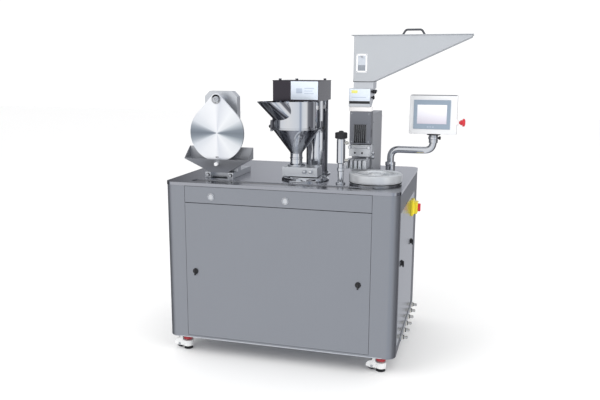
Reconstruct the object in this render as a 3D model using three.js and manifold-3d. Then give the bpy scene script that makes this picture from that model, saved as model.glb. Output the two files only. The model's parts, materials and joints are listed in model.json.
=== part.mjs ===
// Semi-automatic capsule filling machine: a steel cabinet on levelling casters that
// carries a closing station, a powder station, a capsule loader and an operator panel.
// Millimetres, +Z up. While it is built, X runs from the cabinet's left side, Y from its
// front and Z from the floor. The last lines move the origin to the middle of the floor area.
import * as THREE from "three";
import { mergeVertices } from "three/addons/utils/BufferGeometryUtils.js";
import Module from "manifold-3d";

const wasm = await Module();
wasm.setup();

// ---------------------------------------------------------------- driving dimensions
const GAP = 0.3; // between pieces that touch
const RUNNING = 0.8; // radial clearance of turning and sliding parts
const PANEL_GAP = 1.5; // shut line around loose panels

const cabinet = {
  width: 1140,
  depth: 870,
  bottom: 90,
  top: 862,
  cornerRadius: 45,
  sheet: 3,
  returnDepth: 16,
  leftPost: 105,
  rightPost: 122,
  sill: 12,
  railSize: 30,
};
const table = { overhang: 2, thickness: 16, plate: 8, restWidth: 12 };
const gutter = { left: 112, rightInset: 122, front: 45, back: 112, depth: 4, slant: 24 };
const fascia = { height: 82 };
const panel = { sheet: 2, returnDepth: 15 };
const sidePanel = { front: 62, back: 692, bottom: 130, top: 776 };
const lock = {
  inset: 49,
  height: 439,
  sideInset: 97,
  sideHeight: 516,
  headRadius: 14,
  headThickness: 5,
  shaftRadius: 8,
  tongue: 3,
  tongueWidth: 16,
  reach: 12,
};
const pushButton = { radius: 13, bezel: 17, belowTop: 48, stroke: 3, closingX: 243, fillingX: 612 };
const mainSwitch = { y: 590, z: 702, size: 82, plate: 10, body: 62, standOut: 29,
  knobRadius: 21, knobHeight: 15 };
const ports = { count: 6, front: 245, pitch: 98, height: 110, flange: 13, barb: 8, length: 34 };
const shelf = { height: 430, thickness: 6, inset: 20 };
const caster = {
  inset: 72,
  wheelRadius: 21,
  wheelWidth: 22,
  wheelOffset: 43,
  floorClearance: 4,
  cheek: 4,
  cupRadius: 26,
  flangeRadius: 30,
  windowBottom: 46,
  windowTop: 76,
  dialRadius: 23,
  dialMargin: 2, // left over in the window when the foot is at either end
  padRadius: 22,
  padHeight: 8,
  screwRadius: 6,
  rise: 8,
  drop: 4,
};
const closing = {
  x: 219,
  plateFront: 144,
  plateThickness: 10,
  discRadius: 140,
  discHeight: 227,
  pivotHeight: 392,
  apexRadius: 28,
  boltRadius: 8,
  washerRadius: 24,
  blockFront: 206,
  blockDepth: 45,
  blockWidth: 170,
  blockHeight: 429,
  chamfer: 26,
  baseHeight: 29.7,
  baseBack: 430,
  legFront: 165,
  legWidth: 30,
  baseWidth: 150,
  cylinderRadius: 40,
  cylinderLength: 110,
  ejectorRadius: 116,
  ejectorThickness: 8,
  pinCount: 12,
  pinRadius: 2.5,
  pinLength: 9,
  rodRadius: 11,
};
const trough = {
  sideMargin: 29, // beyond the plate's disc
  front: 127,
  back: 202,
  rimAboveDisc: 12, // over the disc's lowest point
  backRise: 56,
  bottomHalf: 46,
  bottomFront: 160,
  wall: 2,
  slantWall: 3,
};
const powder = {
  x: 640,
  y: 262,
  turntableRadius: 118,
  turntableHeight: 14,
  shaftRadius: 15,
  shaftDepth: 90,
  augerX: 585,
  augerY: 290,
  shoeWidth: 178,
  shoeDepth: 110,
  shoeFront: 225,
  shoeLeft: 530,
  shoeHeight: 45,
  shoeClearance: 3,
  tubeRadius: 30,
  tubeBore: 26,
  tubeFlange: 44,
  tubeHeight: 62,
  hopperRadius: 120,
  hopperWall: 2.5,
  coneHeight: 126,
  barrelHeight: 132,
  inletTurn: 52, // degrees from the left towards the front
  inletReach: 142, // from the auger to the middle of the mouth
  inletRadius: 78,
  inletRise: 125,
  inletLean: 138,
  augerRadius: 24,
  augerShaft: 6,
  flightPitch: 22,
  flightThickness: 2,
};
const head = { left: 475, right: 705, front: 248, back: 528, height: 98, sheet: 3, screwHead: 7 };
const column = { x: 648, y: 470, radius: 56, wall: 6, depthBelow: 120, spigot: 28, spigotHeight: 50 };
const post = { x: 835, y: 176, baseRadius: 14, baseHeight: 99, barrelRadius: 20.5, barrelHeight: 117,
  knobRadius: 29, knobHeight: 38 };
const ring = {
  rightInset: 146,
  y: 236,
  radius: 127,
  height: 39,
  tableRadius: 121,
  tableHeight: 10,
  rim: 14,
  recess: 9,
  hub: 58,
  bore: 12,
};
const loader = {
  leftInset: 308,
  width: 106,
  housingFront: 470,
  housingBack: 790,
  housingHeight: 318,
  wall: 3,
  magazineFront: 400,
  magazineBottom: 168,
  magazineHeight: 164,
  magazineStroke: 20, // lift while a row of capsules is released
  groove: 6,
  grooveCount: 6,
  grooveDepth: 8,
  combWidth: 60,
  combBottom: 6,
  combHeight: 92,
  headBottom: 107,
  headHeight: 58,
  headFront: 394,
  barRadius: 5,
  nutRadius: 9,
  forkBottom: 57,
  forkHeight: 42,
  forkFront: 286,
  forkBack: 392,
  tineCount: 5,
  tineGap: 8,
  tineDepth: 60,
  feederClearance: 3,
  feederHeight: 90,
  feederStep: 44,
  feederBack: 550,
  neckHeight: 34,
  neckShift: 16,
  neckBack: 505,
};
const hopper = { length: 560, depth: 130, front: 386, height: 220, tip: 8, wall: 2, lid: 4, lidLip: 6,
  handleFrom: 236, handleLength: 92, handleHeight: 24, handleRadius: 5 };
const arm = {
  rightInset: 125,
  y: 612,
  pipeRadius: 18.5,
  collarRadius: 25,
  flangeRadius: 36,
  collarHeight: 58,
  pipeInset: 12,
  bend: 46,
  runHeight: 125,
  reach: 219,
  topHeight: 205,
};
const hmi = { width: 239, height: 197, depth: 65, leftOfArm: 124, neckRadius: 23, neckLength: 48,
  bezelWidth: 186, bezelHeight: 148, bezelInset: 21, bezelThickness: 4, bezelUp: 26, wall: 3 };
const estop = { height: 60, baseRadius: 14, baseLength: 11, capRadius: 20, stemRadius: 12, length: 26,
  stroke: 5 };
const pump = { x: 160, y: 430, length: 340, width: 210, height: 230, motorRadius: 82 };
const gearmotor = { x: 835, y: 500, width: 110, depth: 130, height: 120, motorRadius: 52,
  motorHeight: 170 };
const control = { left: 260, width: 520, height: 330, plate: 3, toRail: 8 };

const tableTop = cabinet.top + GAP + table.thickness;
const deck = tableTop + GAP; // where pieces that stand on the table begin
const frontLeft = cabinet.leftPost;
const frontRight = cabinet.width - cabinet.rightPost;
const sillTop = cabinet.bottom + cabinet.sill;
const doorTop = cabinet.top - fascia.height - PANEL_GAP;
const buttonHeight = cabinet.top - pushButton.belowTop;

// ---------------------------------------------------------------- finishes
const finish = {
  cabinetSteel: { color: 0x989ba2, roughness: 0.42, metalness: 0.85 },
  tableSteel: { color: 0xa9aab2, roughness: 0.25, metalness: 0.9 },
  brightSteel: { color: 0xd9dcdf, roughness: 0.22, metalness: 0.9 },
  mirrorSteel: { color: 0xc4c6ca, roughness: 0.06, metalness: 1 },
  darkSteel: { color: 0x4b484d, roughness: 0.15, metalness: 0.9 },
  aluminium: { color: 0xcfd2d4, roughness: 0.35, metalness: 0.8 },
  castGrey: { color: 0x8e9096, roughness: 0.5, metalness: 0.6 },
  blackPlastic: { color: 0x1b1b1d, roughness: 0.5, metalness: 0 },
  redPlastic: { color: 0xc8232c, roughness: 0.35, metalness: 0 },
  yellowPlastic: { color: 0xe8d838, roughness: 0.4, metalness: 0 },
  whitePaint: { color: 0xf1f2f3, roughness: 0.4, metalness: 0 },
  screenGlass: { color: 0xa5b8cc, roughness: 0.15, metalness: 0 },
  motorBlue: { color: 0x46586b, roughness: 0.5, metalness: 0.2 },
};

// ---------------------------------------------------------------- shape helpers
const group = new THREE.Group();
const machine = new THREE.Group();
group.add(machine);

/** Closed solid of a geometry, ready to be cut or joined. */
function solid(geometry) {
  const plain = geometry.index ? geometry.toNonIndexed() : geometry.clone();
  plain.deleteAttribute("normal");
  plain.deleteAttribute("uv");
  const merged = mergeVertices(plain, 1e-4);
  return new wasm.Manifold(
    new wasm.Mesh({
      numProp: 3,
      vertProperties: new Float32Array(merged.attributes.position.array),
      triVerts: new Uint32Array(merged.index.array),
    }),
  );
}

/** All the solids as one. */
function join(first, ...rest) {
  return rest.reduce((sum, next) => sum.add(next), first);
}

/** The first solid less the others. */
function cut(first, ...rest) {
  return rest.reduce((left, next) => left.subtract(next), first);
}

/** Put a finished solid in the machine as a named mesh. */
function piece(name, body, look) {
  const made = body.getMesh();
  const geometry = new THREE.BufferGeometry();
  geometry.setAttribute("position", new THREE.BufferAttribute(new Float32Array(made.vertProperties), 3));
  geometry.setIndex(new THREE.BufferAttribute(new Uint32Array(made.triVerts), 1));
  const flat = geometry.toNonIndexed();
  flat.computeVertexNormals();
  const mesh = new THREE.Mesh(flat, new THREE.MeshStandardMaterial(look));
  mesh.name = name;
  machine.add(mesh);
}

/** Box between two corners. */
function box(x0, x1, y0, y1, z0, z1) {
  const made = new THREE.BoxGeometry(x1 - x0, y1 - y0, z1 - z0);
  return solid(made.translate((x0 + x1) / 2, (y0 + y1) / 2, (z0 + z1) / 2));
}

/** Upright cylinder. */
function cylinderZ(radius, x, y, z0, z1, sides = 20) {
  const made = new THREE.CylinderGeometry(radius, radius, z1 - z0, sides).rotateX(Math.PI / 2);
  return solid(made.translate(x, y, (z0 + z1) / 2));
}

/** Cylinder along Y. */
function cylinderY(radius, x, z, y0, y1, sides = 20) {
  const made = new THREE.CylinderGeometry(radius, radius, y1 - y0, sides);
  return solid(made.translate(x, (y0 + y1) / 2, z));
}

/** Cylinder along X. */
function cylinderX(radius, y, z, x0, x1, sides = 20) {
  const made = new THREE.CylinderGeometry(radius, radius, x1 - x0, sides).rotateZ(Math.PI / 2);
  return solid(made.translate((x0 + x1) / 2, y, z));
}

/** Outline from a list of corners. */
function outline(corners) {
  return new THREE.Shape(corners.map(([a, b]) => new THREE.Vector2(a, b)));
}

/** Rectangle with round corners. */
function roundRect(x0, y0, x1, y1, radius) {
  const shape = new THREE.Shape();
  shape.moveTo(x0 + radius, y0);
  shape.lineTo(x1 - radius, y0);
  shape.absarc(x1 - radius, y0 + radius, radius, -Math.PI / 2, 0);
  shape.lineTo(x1, y1 - radius);
  shape.absarc(x1 - radius, y1 - radius, radius, 0, Math.PI / 2);
  shape.lineTo(x0 + radius, y1);
  shape.absarc(x0 + radius, y1 - radius, radius, Math.PI / 2, Math.PI);
  shape.lineTo(x0, y0 + radius);
  shape.absarc(x0 + radius, y0 + radius, radius, Math.PI, 1.5 * Math.PI);
  return shape;
}

/** Plan outline raised between two heights. */
function extrudeZ(shape, z0, z1, curveSegments = 4) {
  const made = new THREE.ExtrudeGeometry(shape, { depth: z1 - z0, bevelEnabled: false, curveSegments });
  return solid(made.translate(0, 0, z0));
}

/** Front-view outline in X and Z, running back from y0 to y1. */
function extrudeY(shape, y0, y1, curveSegments = 4) {
  const made = new THREE.ExtrudeGeometry(shape, { depth: y1 - y0, bevelEnabled: false, curveSegments });
  return solid(made.rotateX(Math.PI / 2).translate(0, y1, 0));
}

/** Side-view outline in Y and Z, running right from x0 to x1. */
function extrudeX(shape, x0, x1, curveSegments = 4) {
  const made = new THREE.ExtrudeGeometry(shape, { depth: x1 - x0, bevelEnabled: false, curveSegments });
  const turn = new THREE.Matrix4().makeBasis(
    new THREE.Vector3(0, 1, 0),
    new THREE.Vector3(0, 0, 1),
    new THREE.Vector3(1, 0, 0),
  );
  return solid(made.applyMatrix4(turn).translate(x0, 0, 0));
}

/** Turned solid about an upright axis: the profile lists radius and height, from the bottom up. */
function turned(profile, x, y, sides = 24) {
  const points = profile.map(([radius, height]) => new THREE.Vector2(radius, height));
  const made = new THREE.LatheGeometry(points, sides).rotateX(Math.PI / 2);
  return solid(made.translate(x, y, 0));
}

/** Screw flight about an upright axis: a flat bar wound into a helix. */
function flight(inner, outer, pitch, turns, thickness, x, y, z0) {
  const stepsPerTurn = 8;
  const steps = Math.round(turns * stepsPerTurn);
  const positions = [];
  const corner = (step, radius, lift) => {
    const angle = (step / stepsPerTurn) * 2 * Math.PI + 0.1;
    const height = z0 + (step / stepsPerTurn) * pitch + lift;
    return [x + radius * Math.cos(angle), y + radius * Math.sin(angle), height];
  };
  const section = (step) => [
    corner(step, inner, 0),
    corner(step, outer, 0),
    corner(step, outer, thickness),
    corner(step, inner, thickness),
  ];
  const quad = (a, b, c, d) => positions.push(...a, ...b, ...c, ...a, ...c, ...d);
  for (let step = 0; step < steps; step += 1) {
    const here = section(step);
    const next = section(step + 1);
    for (let side = 0; side < 4; side += 1) {
      const other = (side + 1) % 4;
      quad(here[side], next[side], next[other], here[other]);
    }
  }
  const first = section(0);
  const last = section(steps);
  quad(first[0], first[1], first[2], first[3]);
  quad(last[3], last[2], last[1], last[0]);
  const made = new THREE.BufferGeometry();
  made.setAttribute("position", new THREE.Float32BufferAttribute(positions, 3));
  return solid(made);
}

// ---------------------------------------------------------------- cabinet
/** Sheet panel in the front plane, its four edges folded back into the cabinet. */
function foldedFront(x0, x1, z0, z1) {
  const skin = box(x0, x1, 0, panel.returnDepth, z0, z1);
  const inside = box(x0 + panel.sheet, x1 - panel.sheet, panel.sheet, panel.returnDepth + 1,
    z0 + panel.sheet, z1 - panel.sheet);
  return cut(skin, inside);
}

function buildCabinet() {
  const { width, depth, bottom, top, cornerRadius: r, sheet, returnDepth, railSize } = cabinet;
  const outer = roundRect(0, 0, width, depth, r);
  outer.holes.push(roundRect(sheet, sheet, width - sheet, depth - sheet, r - sheet));
  const floor = extrudeZ(roundRect(1, 1, width - 1, depth - 1, r - 1), bottom + 1, bottom + sheet + 1);
  const frontOpening = box(frontLeft, frontRight, -1, sheet + 1, sillTop, top + 1);
  const sideOpening = box(width - sheet - 1, width + 1, sidePanel.front, sidePanel.back,
    sidePanel.bottom, sidePanel.top);
  let shell = cut(join(extrudeZ(outer, bottom, top), floor), frontOpening, sideOpening);
  for (let row = 0; row < 5; row += 1) {
    const z = 620 + row * 24;
    shell = cut(shell, box(width / 2 - 170, width / 2 + 170, depth - sheet - 1, depth + 1, z, z + 8));
  }
  const beam = (y0, y1, z1) => box(1, width - 1, y0, y1, z1 - railSize, z1);
  const rails = [
    beam(r + 4, r + 4 + railSize, top - 1),
    beam(depth - r - 4 - railSize, depth - r - 4, top - 1),
    beam(r + 2, sidePanel.front - 1, shelf.height),
    beam(sidePanel.back + 8, sidePanel.back + 8 + railSize, shelf.height),
  ];
  const doorFold = (x0) => box(x0, x0 + sheet, sheet - 1, returnDepth, sillTop - 1, top - 2);
  const sideFold = (y0) => box(width - returnDepth, width - sheet + 1, y0, y0 + sheet,
    sidePanel.bottom - 1, sidePanel.top + 1);
  const switchY = [mainSwitch.y - 22, mainSwitch.y + 22];
  const switchBracket = join(
    box(width - 30, width - 20, ...switchY, mainSwitch.z - 40, sidePanel.top + 22),
    box(width - 30, width - 1, ...switchY, sidePanel.top + 10, sidePanel.top + 22),
  );
  shell = join(shell, ...rails, doorFold(frontLeft - sheet), doorFold(frontRight),
    sideFold(sidePanel.front - sheet), sideFold(sidePanel.back), switchBracket);
  piece("cabinet_body", shell, finish.cabinetSteel);
}

function buildTable() {
  const { overhang: o, plate, restWidth } = table;
  const { width, depth, cornerRadius: r } = cabinet;
  const bottom = cabinet.top + GAP;
  const underside = tableTop - plate;
  const body = extrudeZ(roundRect(-o, -o, width + o, depth + o, r + o), bottom, tableTop);
  const inner = roundRect(restWidth, restWidth, width - restWidth, depth - restWidth, r - restWidth);
  const hollow = extrudeZ(inner, bottom - 1, underside);
  const end = (gutter.back - gutter.front) / 2;
  const right = width - gutter.rightInset - end;
  const channel = new THREE.Shape();
  channel.moveTo(gutter.left, gutter.front + gutter.slant);
  channel.lineTo(gutter.left + gutter.slant, gutter.front);
  channel.lineTo(right, gutter.front);
  channel.absarc(right, gutter.front + end, end, -Math.PI / 2, Math.PI / 2);
  channel.lineTo(gutter.left + gutter.slant / 2, gutter.back);
  const holeAt = (x, y, radius) => cylinderZ(radius, x, y, underside - 1, tableTop + 1);
  const top = cut(
    body,
    hollow,
    extrudeZ(channel, tableTop - gutter.depth, tableTop + 1),
    holeAt(powder.x, powder.y, powder.shaftRadius + RUNNING),
    holeAt(width - ring.rightInset, ring.y, powder.shaftRadius + RUNNING),
    holeAt(column.x, column.y, column.radius + RUNNING),
    box(closing.x - trough.bottomHalf + trough.wall, closing.x + trough.bottomHalf - trough.wall,
      trough.bottomFront + 4, trough.back - 4, underside - 1, tableTop + 1),
  );
  piece("table_top", top, finish.tableSteel);
}

function buildPanels() {
  const { width } = cabinet;
  const x0 = frontLeft + PANEL_GAP;
  const x1 = frontRight - PANEL_GAP;
  const lockX = [frontLeft + lock.inset, frontRight - lock.inset - 8];
  const bore = lock.shaftRadius + RUNNING;
  const door = cut(
    foldedFront(x0, x1, sillTop + PANEL_GAP, doorTop),
    ...lockX.map((x) => cylinderY(bore, x, lock.height, -1, panel.sheet + 1)),
  );
  piece("front_door", door, finish.cabinetSteel);
  const buttonX = [pushButton.closingX, pushButton.fillingX];
  const strip = cut(
    foldedFront(x0, x1, doorTop + 2 * PANEL_GAP, cabinet.top - PANEL_GAP),
    ...buttonX.map((x) => cylinderY(pushButton.radius + RUNNING, x, buttonHeight, -1, panel.sheet + 1)),
  );
  piece("fascia_panel", strip, finish.cabinetSteel);
  const y0 = sidePanel.front + PANEL_GAP;
  const y1 = sidePanel.back - PANEL_GAP;
  const z0 = sidePanel.bottom + PANEL_GAP;
  const z1 = sidePanel.top - PANEL_GAP;
  const half = mainSwitch.size / 2 + 2 * PANEL_GAP;
  const lockY = [sidePanel.front + lock.sideInset, sidePanel.back - lock.sideInset];
  const side = cut(
    box(width - panel.returnDepth, width, y0, y1, z0, z1),
    box(width - panel.returnDepth - 1, width - panel.sheet, y0 + panel.sheet, y1 - panel.sheet,
      z0 + panel.sheet, z1 - panel.sheet),
    box(width - panel.sheet - 1, width + 1, mainSwitch.y - half, mainSwitch.y + half,
      mainSwitch.z - half, mainSwitch.z + half),
    ...lockY.map((y) => cylinderX(bore, y, lock.sideHeight, width - panel.sheet - 1, width + 1)),
  );
  piece("right_side_panel", side, finish.cabinetSteel);
  const lockNames = ["door_lock_left", "door_lock_right"];
  lockX.forEach((x, index) => piece(lockNames[index], quarterTurn(lock.inset + 8 * index)
    .translate([x, 0, lock.height]), finish.blackPlastic));
  const sideNames = ["side_lock_front", "side_lock_rear"];
  lockY.forEach((y, index) => piece(sideNames[index], quarterTurn(lock.sideInset).rotate([0, 0, 90])
    .translate([width, y, lock.sideHeight]), finish.blackPlastic));
}

/** Quarter-turn lock on a face at y = 0, its tongue hanging down in the open position. */
function quarterTurn(toEdge) {
  const back = cabinet.returnDepth + 1 + lock.tongue;
  const front = -GAP - lock.headThickness;
  return join(
    cylinderY(lock.headRadius, 0, 0, front, -GAP, 20),
    box(-4, 4, front - 7, front + 1, -lock.headRadius - 6, lock.headRadius - 4),
    cylinderY(lock.shaftRadius, 0, 0, front + 1, back, 16),
    box(-lock.tongueWidth / 2, lock.tongueWidth / 2, back - lock.tongue, back,
      -toEdge - lock.reach, lock.tongueWidth / 2),
  );
}

function buildControls() {
  const { width } = cabinet;
  const button = (x) => join(
    cylinderY(pushButton.radius, x, buttonHeight, -6, panel.sheet + pushButton.stroke + 6),
    cylinderY(pushButton.bezel, x, buttonHeight, panel.sheet + 2, panel.sheet + 5),
  );
  piece("closing_button", button(pushButton.closingX), finish.mirrorSteel);
  piece("filling_button", button(pushButton.fillingX), finish.mirrorSteel);
  const { y, z, size, plate, body, standOut, knobRadius, knobHeight } = mainSwitch;
  const base = join(
    box(width - 20 + GAP, width + plate, y - size / 2, y + size / 2, z - size / 2, z + size / 2),
    box(width + plate - 1, width + standOut, y - body / 2, y + body / 2, z - body / 2, z + body / 2),
  );
  piece("main_switch_base", base, finish.yellowPlastic);
  const knobStart = width + standOut + GAP;
  const knob = join(
    cylinderX(knobRadius, y, z, knobStart, knobStart + knobHeight / 2),
    box(knobStart + 1, knobStart + knobHeight, y - 6, y + 6, z - knobRadius, z + knobRadius),
  );
  piece("main_switch_knob", knob, finish.redPlastic);
  const plateEnd = ports.front + (ports.count - 1) * ports.pitch;
  const portLow = ports.height - 15;
  const portHigh = ports.height + 15;
  let block = box(width + GAP, width + 4, ports.front - 20, plateEnd + 20, portLow, portHigh);
  for (let index = 0; index < ports.count; index += 1) {
    const at = ports.front + index * ports.pitch;
    block = join(
      block,
      cylinderX(ports.flange, at, ports.height, width + 3, width + 12, 12),
      cylinderX(ports.barb, at, ports.height, width + 11, width + ports.length, 8),
    );
  }
  piece("hose_port_block", block, finish.brightSteel);
}

function buildInterior() {
  const { width, depth, bottom, sheet } = cabinet;
  const plate = box(shelf.inset, width - shelf.inset, cabinet.cornerRadius + 2, depth - shelf.inset - 100,
    shelf.height + GAP, shelf.height + GAP + shelf.thickness);
  piece("equipment_shelf", plate, finish.castGrey);
  const floor = bottom + sheet + 1 + GAP;
  const pumpMid = pump.y + pump.width / 2;
  const vacuum = join(
    box(pump.x, pump.x + pump.length, pump.y, pump.y + pump.width, floor, floor + 14),
    box(pump.x + 10, pump.x + 130, pump.y + 20, pump.y + pump.width - 20, floor + 13, floor + pump.height),
    cylinderX(pump.motorRadius, pumpMid, floor + 105, pump.x + 129, pump.x + pump.length),
    box(pump.x + 150, pump.x + 300, pumpMid - 50, pumpMid + 50, floor + 13, floor + 60),
  );
  piece("vacuum_pump", vacuum, finish.motorBlue);
  const shelfTop = shelf.height + 2 * GAP + shelf.thickness;
  const motorX = gearmotor.x + gearmotor.width / 2;
  const motorY = gearmotor.y + gearmotor.depth / 2;
  const drive = join(
    box(gearmotor.x, gearmotor.x + gearmotor.width, gearmotor.y, gearmotor.y + gearmotor.depth,
      shelfTop, shelfTop + gearmotor.height),
    cylinderZ(gearmotor.motorRadius, motorX, motorY, shelfTop + gearmotor.height - 1,
      shelfTop + gearmotor.height + gearmotor.motorHeight),
  );
  piece("loader_gearmotor", drive, finish.motorBlue);
  const back = depth - cabinet.cornerRadius - 1 - cabinet.railSize - control.toRail;
  const face = back - control.plate;
  const { left } = control;
  const unit = (x, w, z, h, d) => (
    box(left + x, left + x + w, face - d, face + 1, shelfTop + z, shelfTop + z + h)
  );
  const board = join(
    box(left, left + control.width, face, back, shelfTop, shelfTop + control.height),
    unit(30, 120, 150, 140, 70),
    unit(180, 90, 170, 110, 60),
    unit(300, 190, 170, 100, 50),
    unit(30, 460, 40, 60, 45),
  );
  piece("control_plate", board, finish.castGrey);
}

// ---------------------------------------------------------------- levelling casters
function buildCaster(tag, x, y) {
  const { wheelRadius, wheelWidth, wheelOffset, floorClearance, cheek, screwRadius } = caster;
  const { windowBottom, windowTop, dialMargin } = caster;
  const wheelX = x - wheelOffset;
  const axle = floorClearance + wheelRadius;
  const top = cabinet.bottom - GAP;
  const half = wheelWidth / 2 + 1;
  const cupBottom = caster.padHeight + caster.rise + 1;
  const cover = axle + wheelRadius + 3;
  const bridge = x - caster.dialRadius - dialMargin;
  const side = new THREE.Shape();
  side.moveTo(x - 10, cupBottom);
  side.lineTo(x - 10, windowBottom);
  side.lineTo(bridge, windowBottom);
  side.lineTo(bridge, windowTop);
  side.lineTo(x - 10, windowTop);
  side.lineTo(x - 10, top - 1);
  side.lineTo(bridge - 2, top - 1);
  side.lineTo(wheelX, cover + cheek);
  side.absarc(wheelX, axle, cover + cheek - axle, Math.PI / 2, Math.PI, false);
  side.lineTo(wheelX - 6, axle - 8);
  side.lineTo(wheelX + 8, axle - 8);
  const body = join(
    extrudeY(side, y - half - cheek, y + half + cheek),
    cylinderZ(caster.cupRadius, x, y, cupBottom, windowBottom),
    cylinderZ(caster.flangeRadius, x, y, windowTop, top),
  );
  const wheelWell = cylinderY(wheelRadius + 2, wheelX, axle, y - half, y + half);
  const wellMouth = box(wheelX - wheelRadius - 40, wheelX + wheelRadius + 1, y - half, y + half, 0, axle);
  const axleHole = cylinderY(5 + RUNNING, wheelX, axle, y - half - cheek - 1, y + half + cheek + 1, 8);
  const screwHole = cylinderZ(screwRadius + RUNNING, x, y, cupBottom - 1, windowBottom + 1, 10);
  piece(`${tag}_body`, cut(body, wheelWell, wellMouth, axleHole, screwHole), finish.aluminium);
  const wheel = join(
    cylinderY(wheelRadius, wheelX, axle, y - wheelWidth / 2, y + wheelWidth / 2),
    cylinderY(5, wheelX, axle, y - half - cheek, y + half + cheek, 8),
  );
  piece(`${tag}_wheel`, wheel, finish.whitePaint);
  const dialTop = windowTop - caster.rise - dialMargin;
  const foot = join(
    cylinderZ(caster.padRadius, x, y, 0, caster.padHeight),
    cylinderZ(caster.dialRadius, x, y, windowBottom + caster.drop + dialMargin, dialTop),
    cylinderZ(screwRadius, x, y, 1, dialTop - 1, 10),
  );
  piece(`${tag}_foot`, foot, finish.redPlastic);
}

function buildCasters() {
  const { width, depth } = cabinet;
  const near = caster.inset;
  buildCaster("caster_front_left", near, near);
  buildCaster("caster_front_right", width - near, near);
  buildCaster("caster_rear_left", near, depth - near);
  buildCaster("caster_rear_right", width - near, depth - near);
}

// ---------------------------------------------------------------- closing station
/** Round plate that runs up to a small round apex, as seen from the front. */
function pearOutline(x, z, radius, apexZ, apexRadius) {
  const lean = Math.asin((radius - apexRadius) / (apexZ - z));
  const shape = new THREE.Shape();
  shape.absarc(x, z, radius, Math.PI - lean, 2 * Math.PI + lean, false);
  shape.absarc(x, apexZ, apexRadius, lean, Math.PI - lean, false);
  return shape;
}

function buildClosingStation() {
  const c = closing;
  const discZ = tableTop + c.discHeight;
  const pivotZ = tableTop + c.pivotHeight;
  const baseTop = deck + c.baseHeight;
  const left = c.x - c.baseWidth / 2;
  const right = c.x + c.baseWidth / 2;
  const knob = (x) => cylinderY(8, x, deck + c.baseHeight / 2, c.legFront - 9, c.legFront + 1, 16);
  const bracket = join(
    box(left, left + c.legWidth, c.legFront, c.baseBack, deck, baseTop),
    box(right - c.legWidth, right, c.legFront, c.baseBack, deck, baseTop),
    box(left, right, c.blockFront, c.baseBack, deck, baseTop),
    knob(left + c.legWidth / 2),
    knob(right - c.legWidth / 2),
  );
  piece("closing_bracket", bracket, finish.brightSteel);

  const blockLeft = c.x - c.blockWidth / 2;
  const blockRight = c.x + c.blockWidth / 2;
  const blockBottom = baseTop + GAP;
  const blockTop = deck + c.blockHeight;
  const blockBack = c.blockFront + c.blockDepth;
  const face = outline([
    [blockLeft, blockBottom],
    [blockRight, blockBottom],
    [blockRight, blockTop - c.chamfer],
    [blockRight - c.chamfer, blockTop],
    [blockLeft + c.chamfer, blockTop],
    [blockLeft, blockTop - c.chamfer],
  ]);
  const rib = outline([
    [blockBack - 1, blockBottom],
    [c.baseBack - 30, blockBottom],
    [c.baseBack - 30, blockBottom + 12],
    [blockBack - 1, discZ - c.cylinderRadius + 5],
  ]);
  const plateBack = c.plateFront + c.plateThickness;
  const housing = join(
    extrudeY(face, c.blockFront, blockBack),
    extrudeX(rib, c.x - 8, c.x + 8),
    cylinderY(c.cylinderRadius, c.x, discZ, blockBack - 1, blockBack + c.cylinderLength),
    cylinderY(2 * c.boltRadius, c.x, pivotZ, plateBack + GAP, c.blockFront + 1),
    cylinderY(c.boltRadius, c.x, pivotZ, c.plateFront - 12, c.blockFront + 1, 20),
    cylinderY(c.washerRadius, c.x, pivotZ, c.plateFront - 3, c.plateFront - GAP, 28),
    cylinderY(c.boltRadius + 4, c.x, pivotZ, c.plateFront - 11, c.plateFront - 2, 6),
  );
  const boreEnd = blockBack + c.cylinderLength - 20;
  const rodBore = cylinderY(c.rodRadius + RUNNING, c.x, discZ, c.blockFront - 1, boreEnd);
  piece("closing_block", cut(housing, rodBore), finish.brightSteel);

  const pearEdge = pearOutline(c.x, discZ, c.discRadius, pivotZ, c.apexRadius);
  const pear = extrudeY(pearEdge, c.plateFront, plateBack, 22);
  const pivotHole = cylinderY(c.boltRadius + RUNNING, c.x, pivotZ, c.plateFront - 1, plateBack + 1, 20);
  piece("closing_plate", cut(pear, pivotHole), finish.brightSteel);

  const plateRear = trough.back - trough.wall - 2;
  const plateNear = plateRear - c.ejectorThickness;
  let ejector = join(
    cylinderY(c.ejectorRadius, c.x, discZ, plateNear, plateRear, 36),
    cylinderY(c.rodRadius, c.x, discZ, plateRear - 1, blockBack + c.cylinderLength - 50),
  );
  for (let index = 0; index < c.pinCount; index += 1) {
    const angle = (index / c.pinCount) * 2 * Math.PI;
    const x = c.x + (c.ejectorRadius - 14) * Math.cos(angle);
    const z = discZ + (c.ejectorRadius - 14) * Math.sin(angle);
    ejector = join(ejector, cylinderY(c.pinRadius, x, z, plateNear - c.pinLength, plateNear + 1, 6));
  }
  piece("ejector_plate", ejector, finish.aluminium);
  buildTrough(discZ);
}

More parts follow.
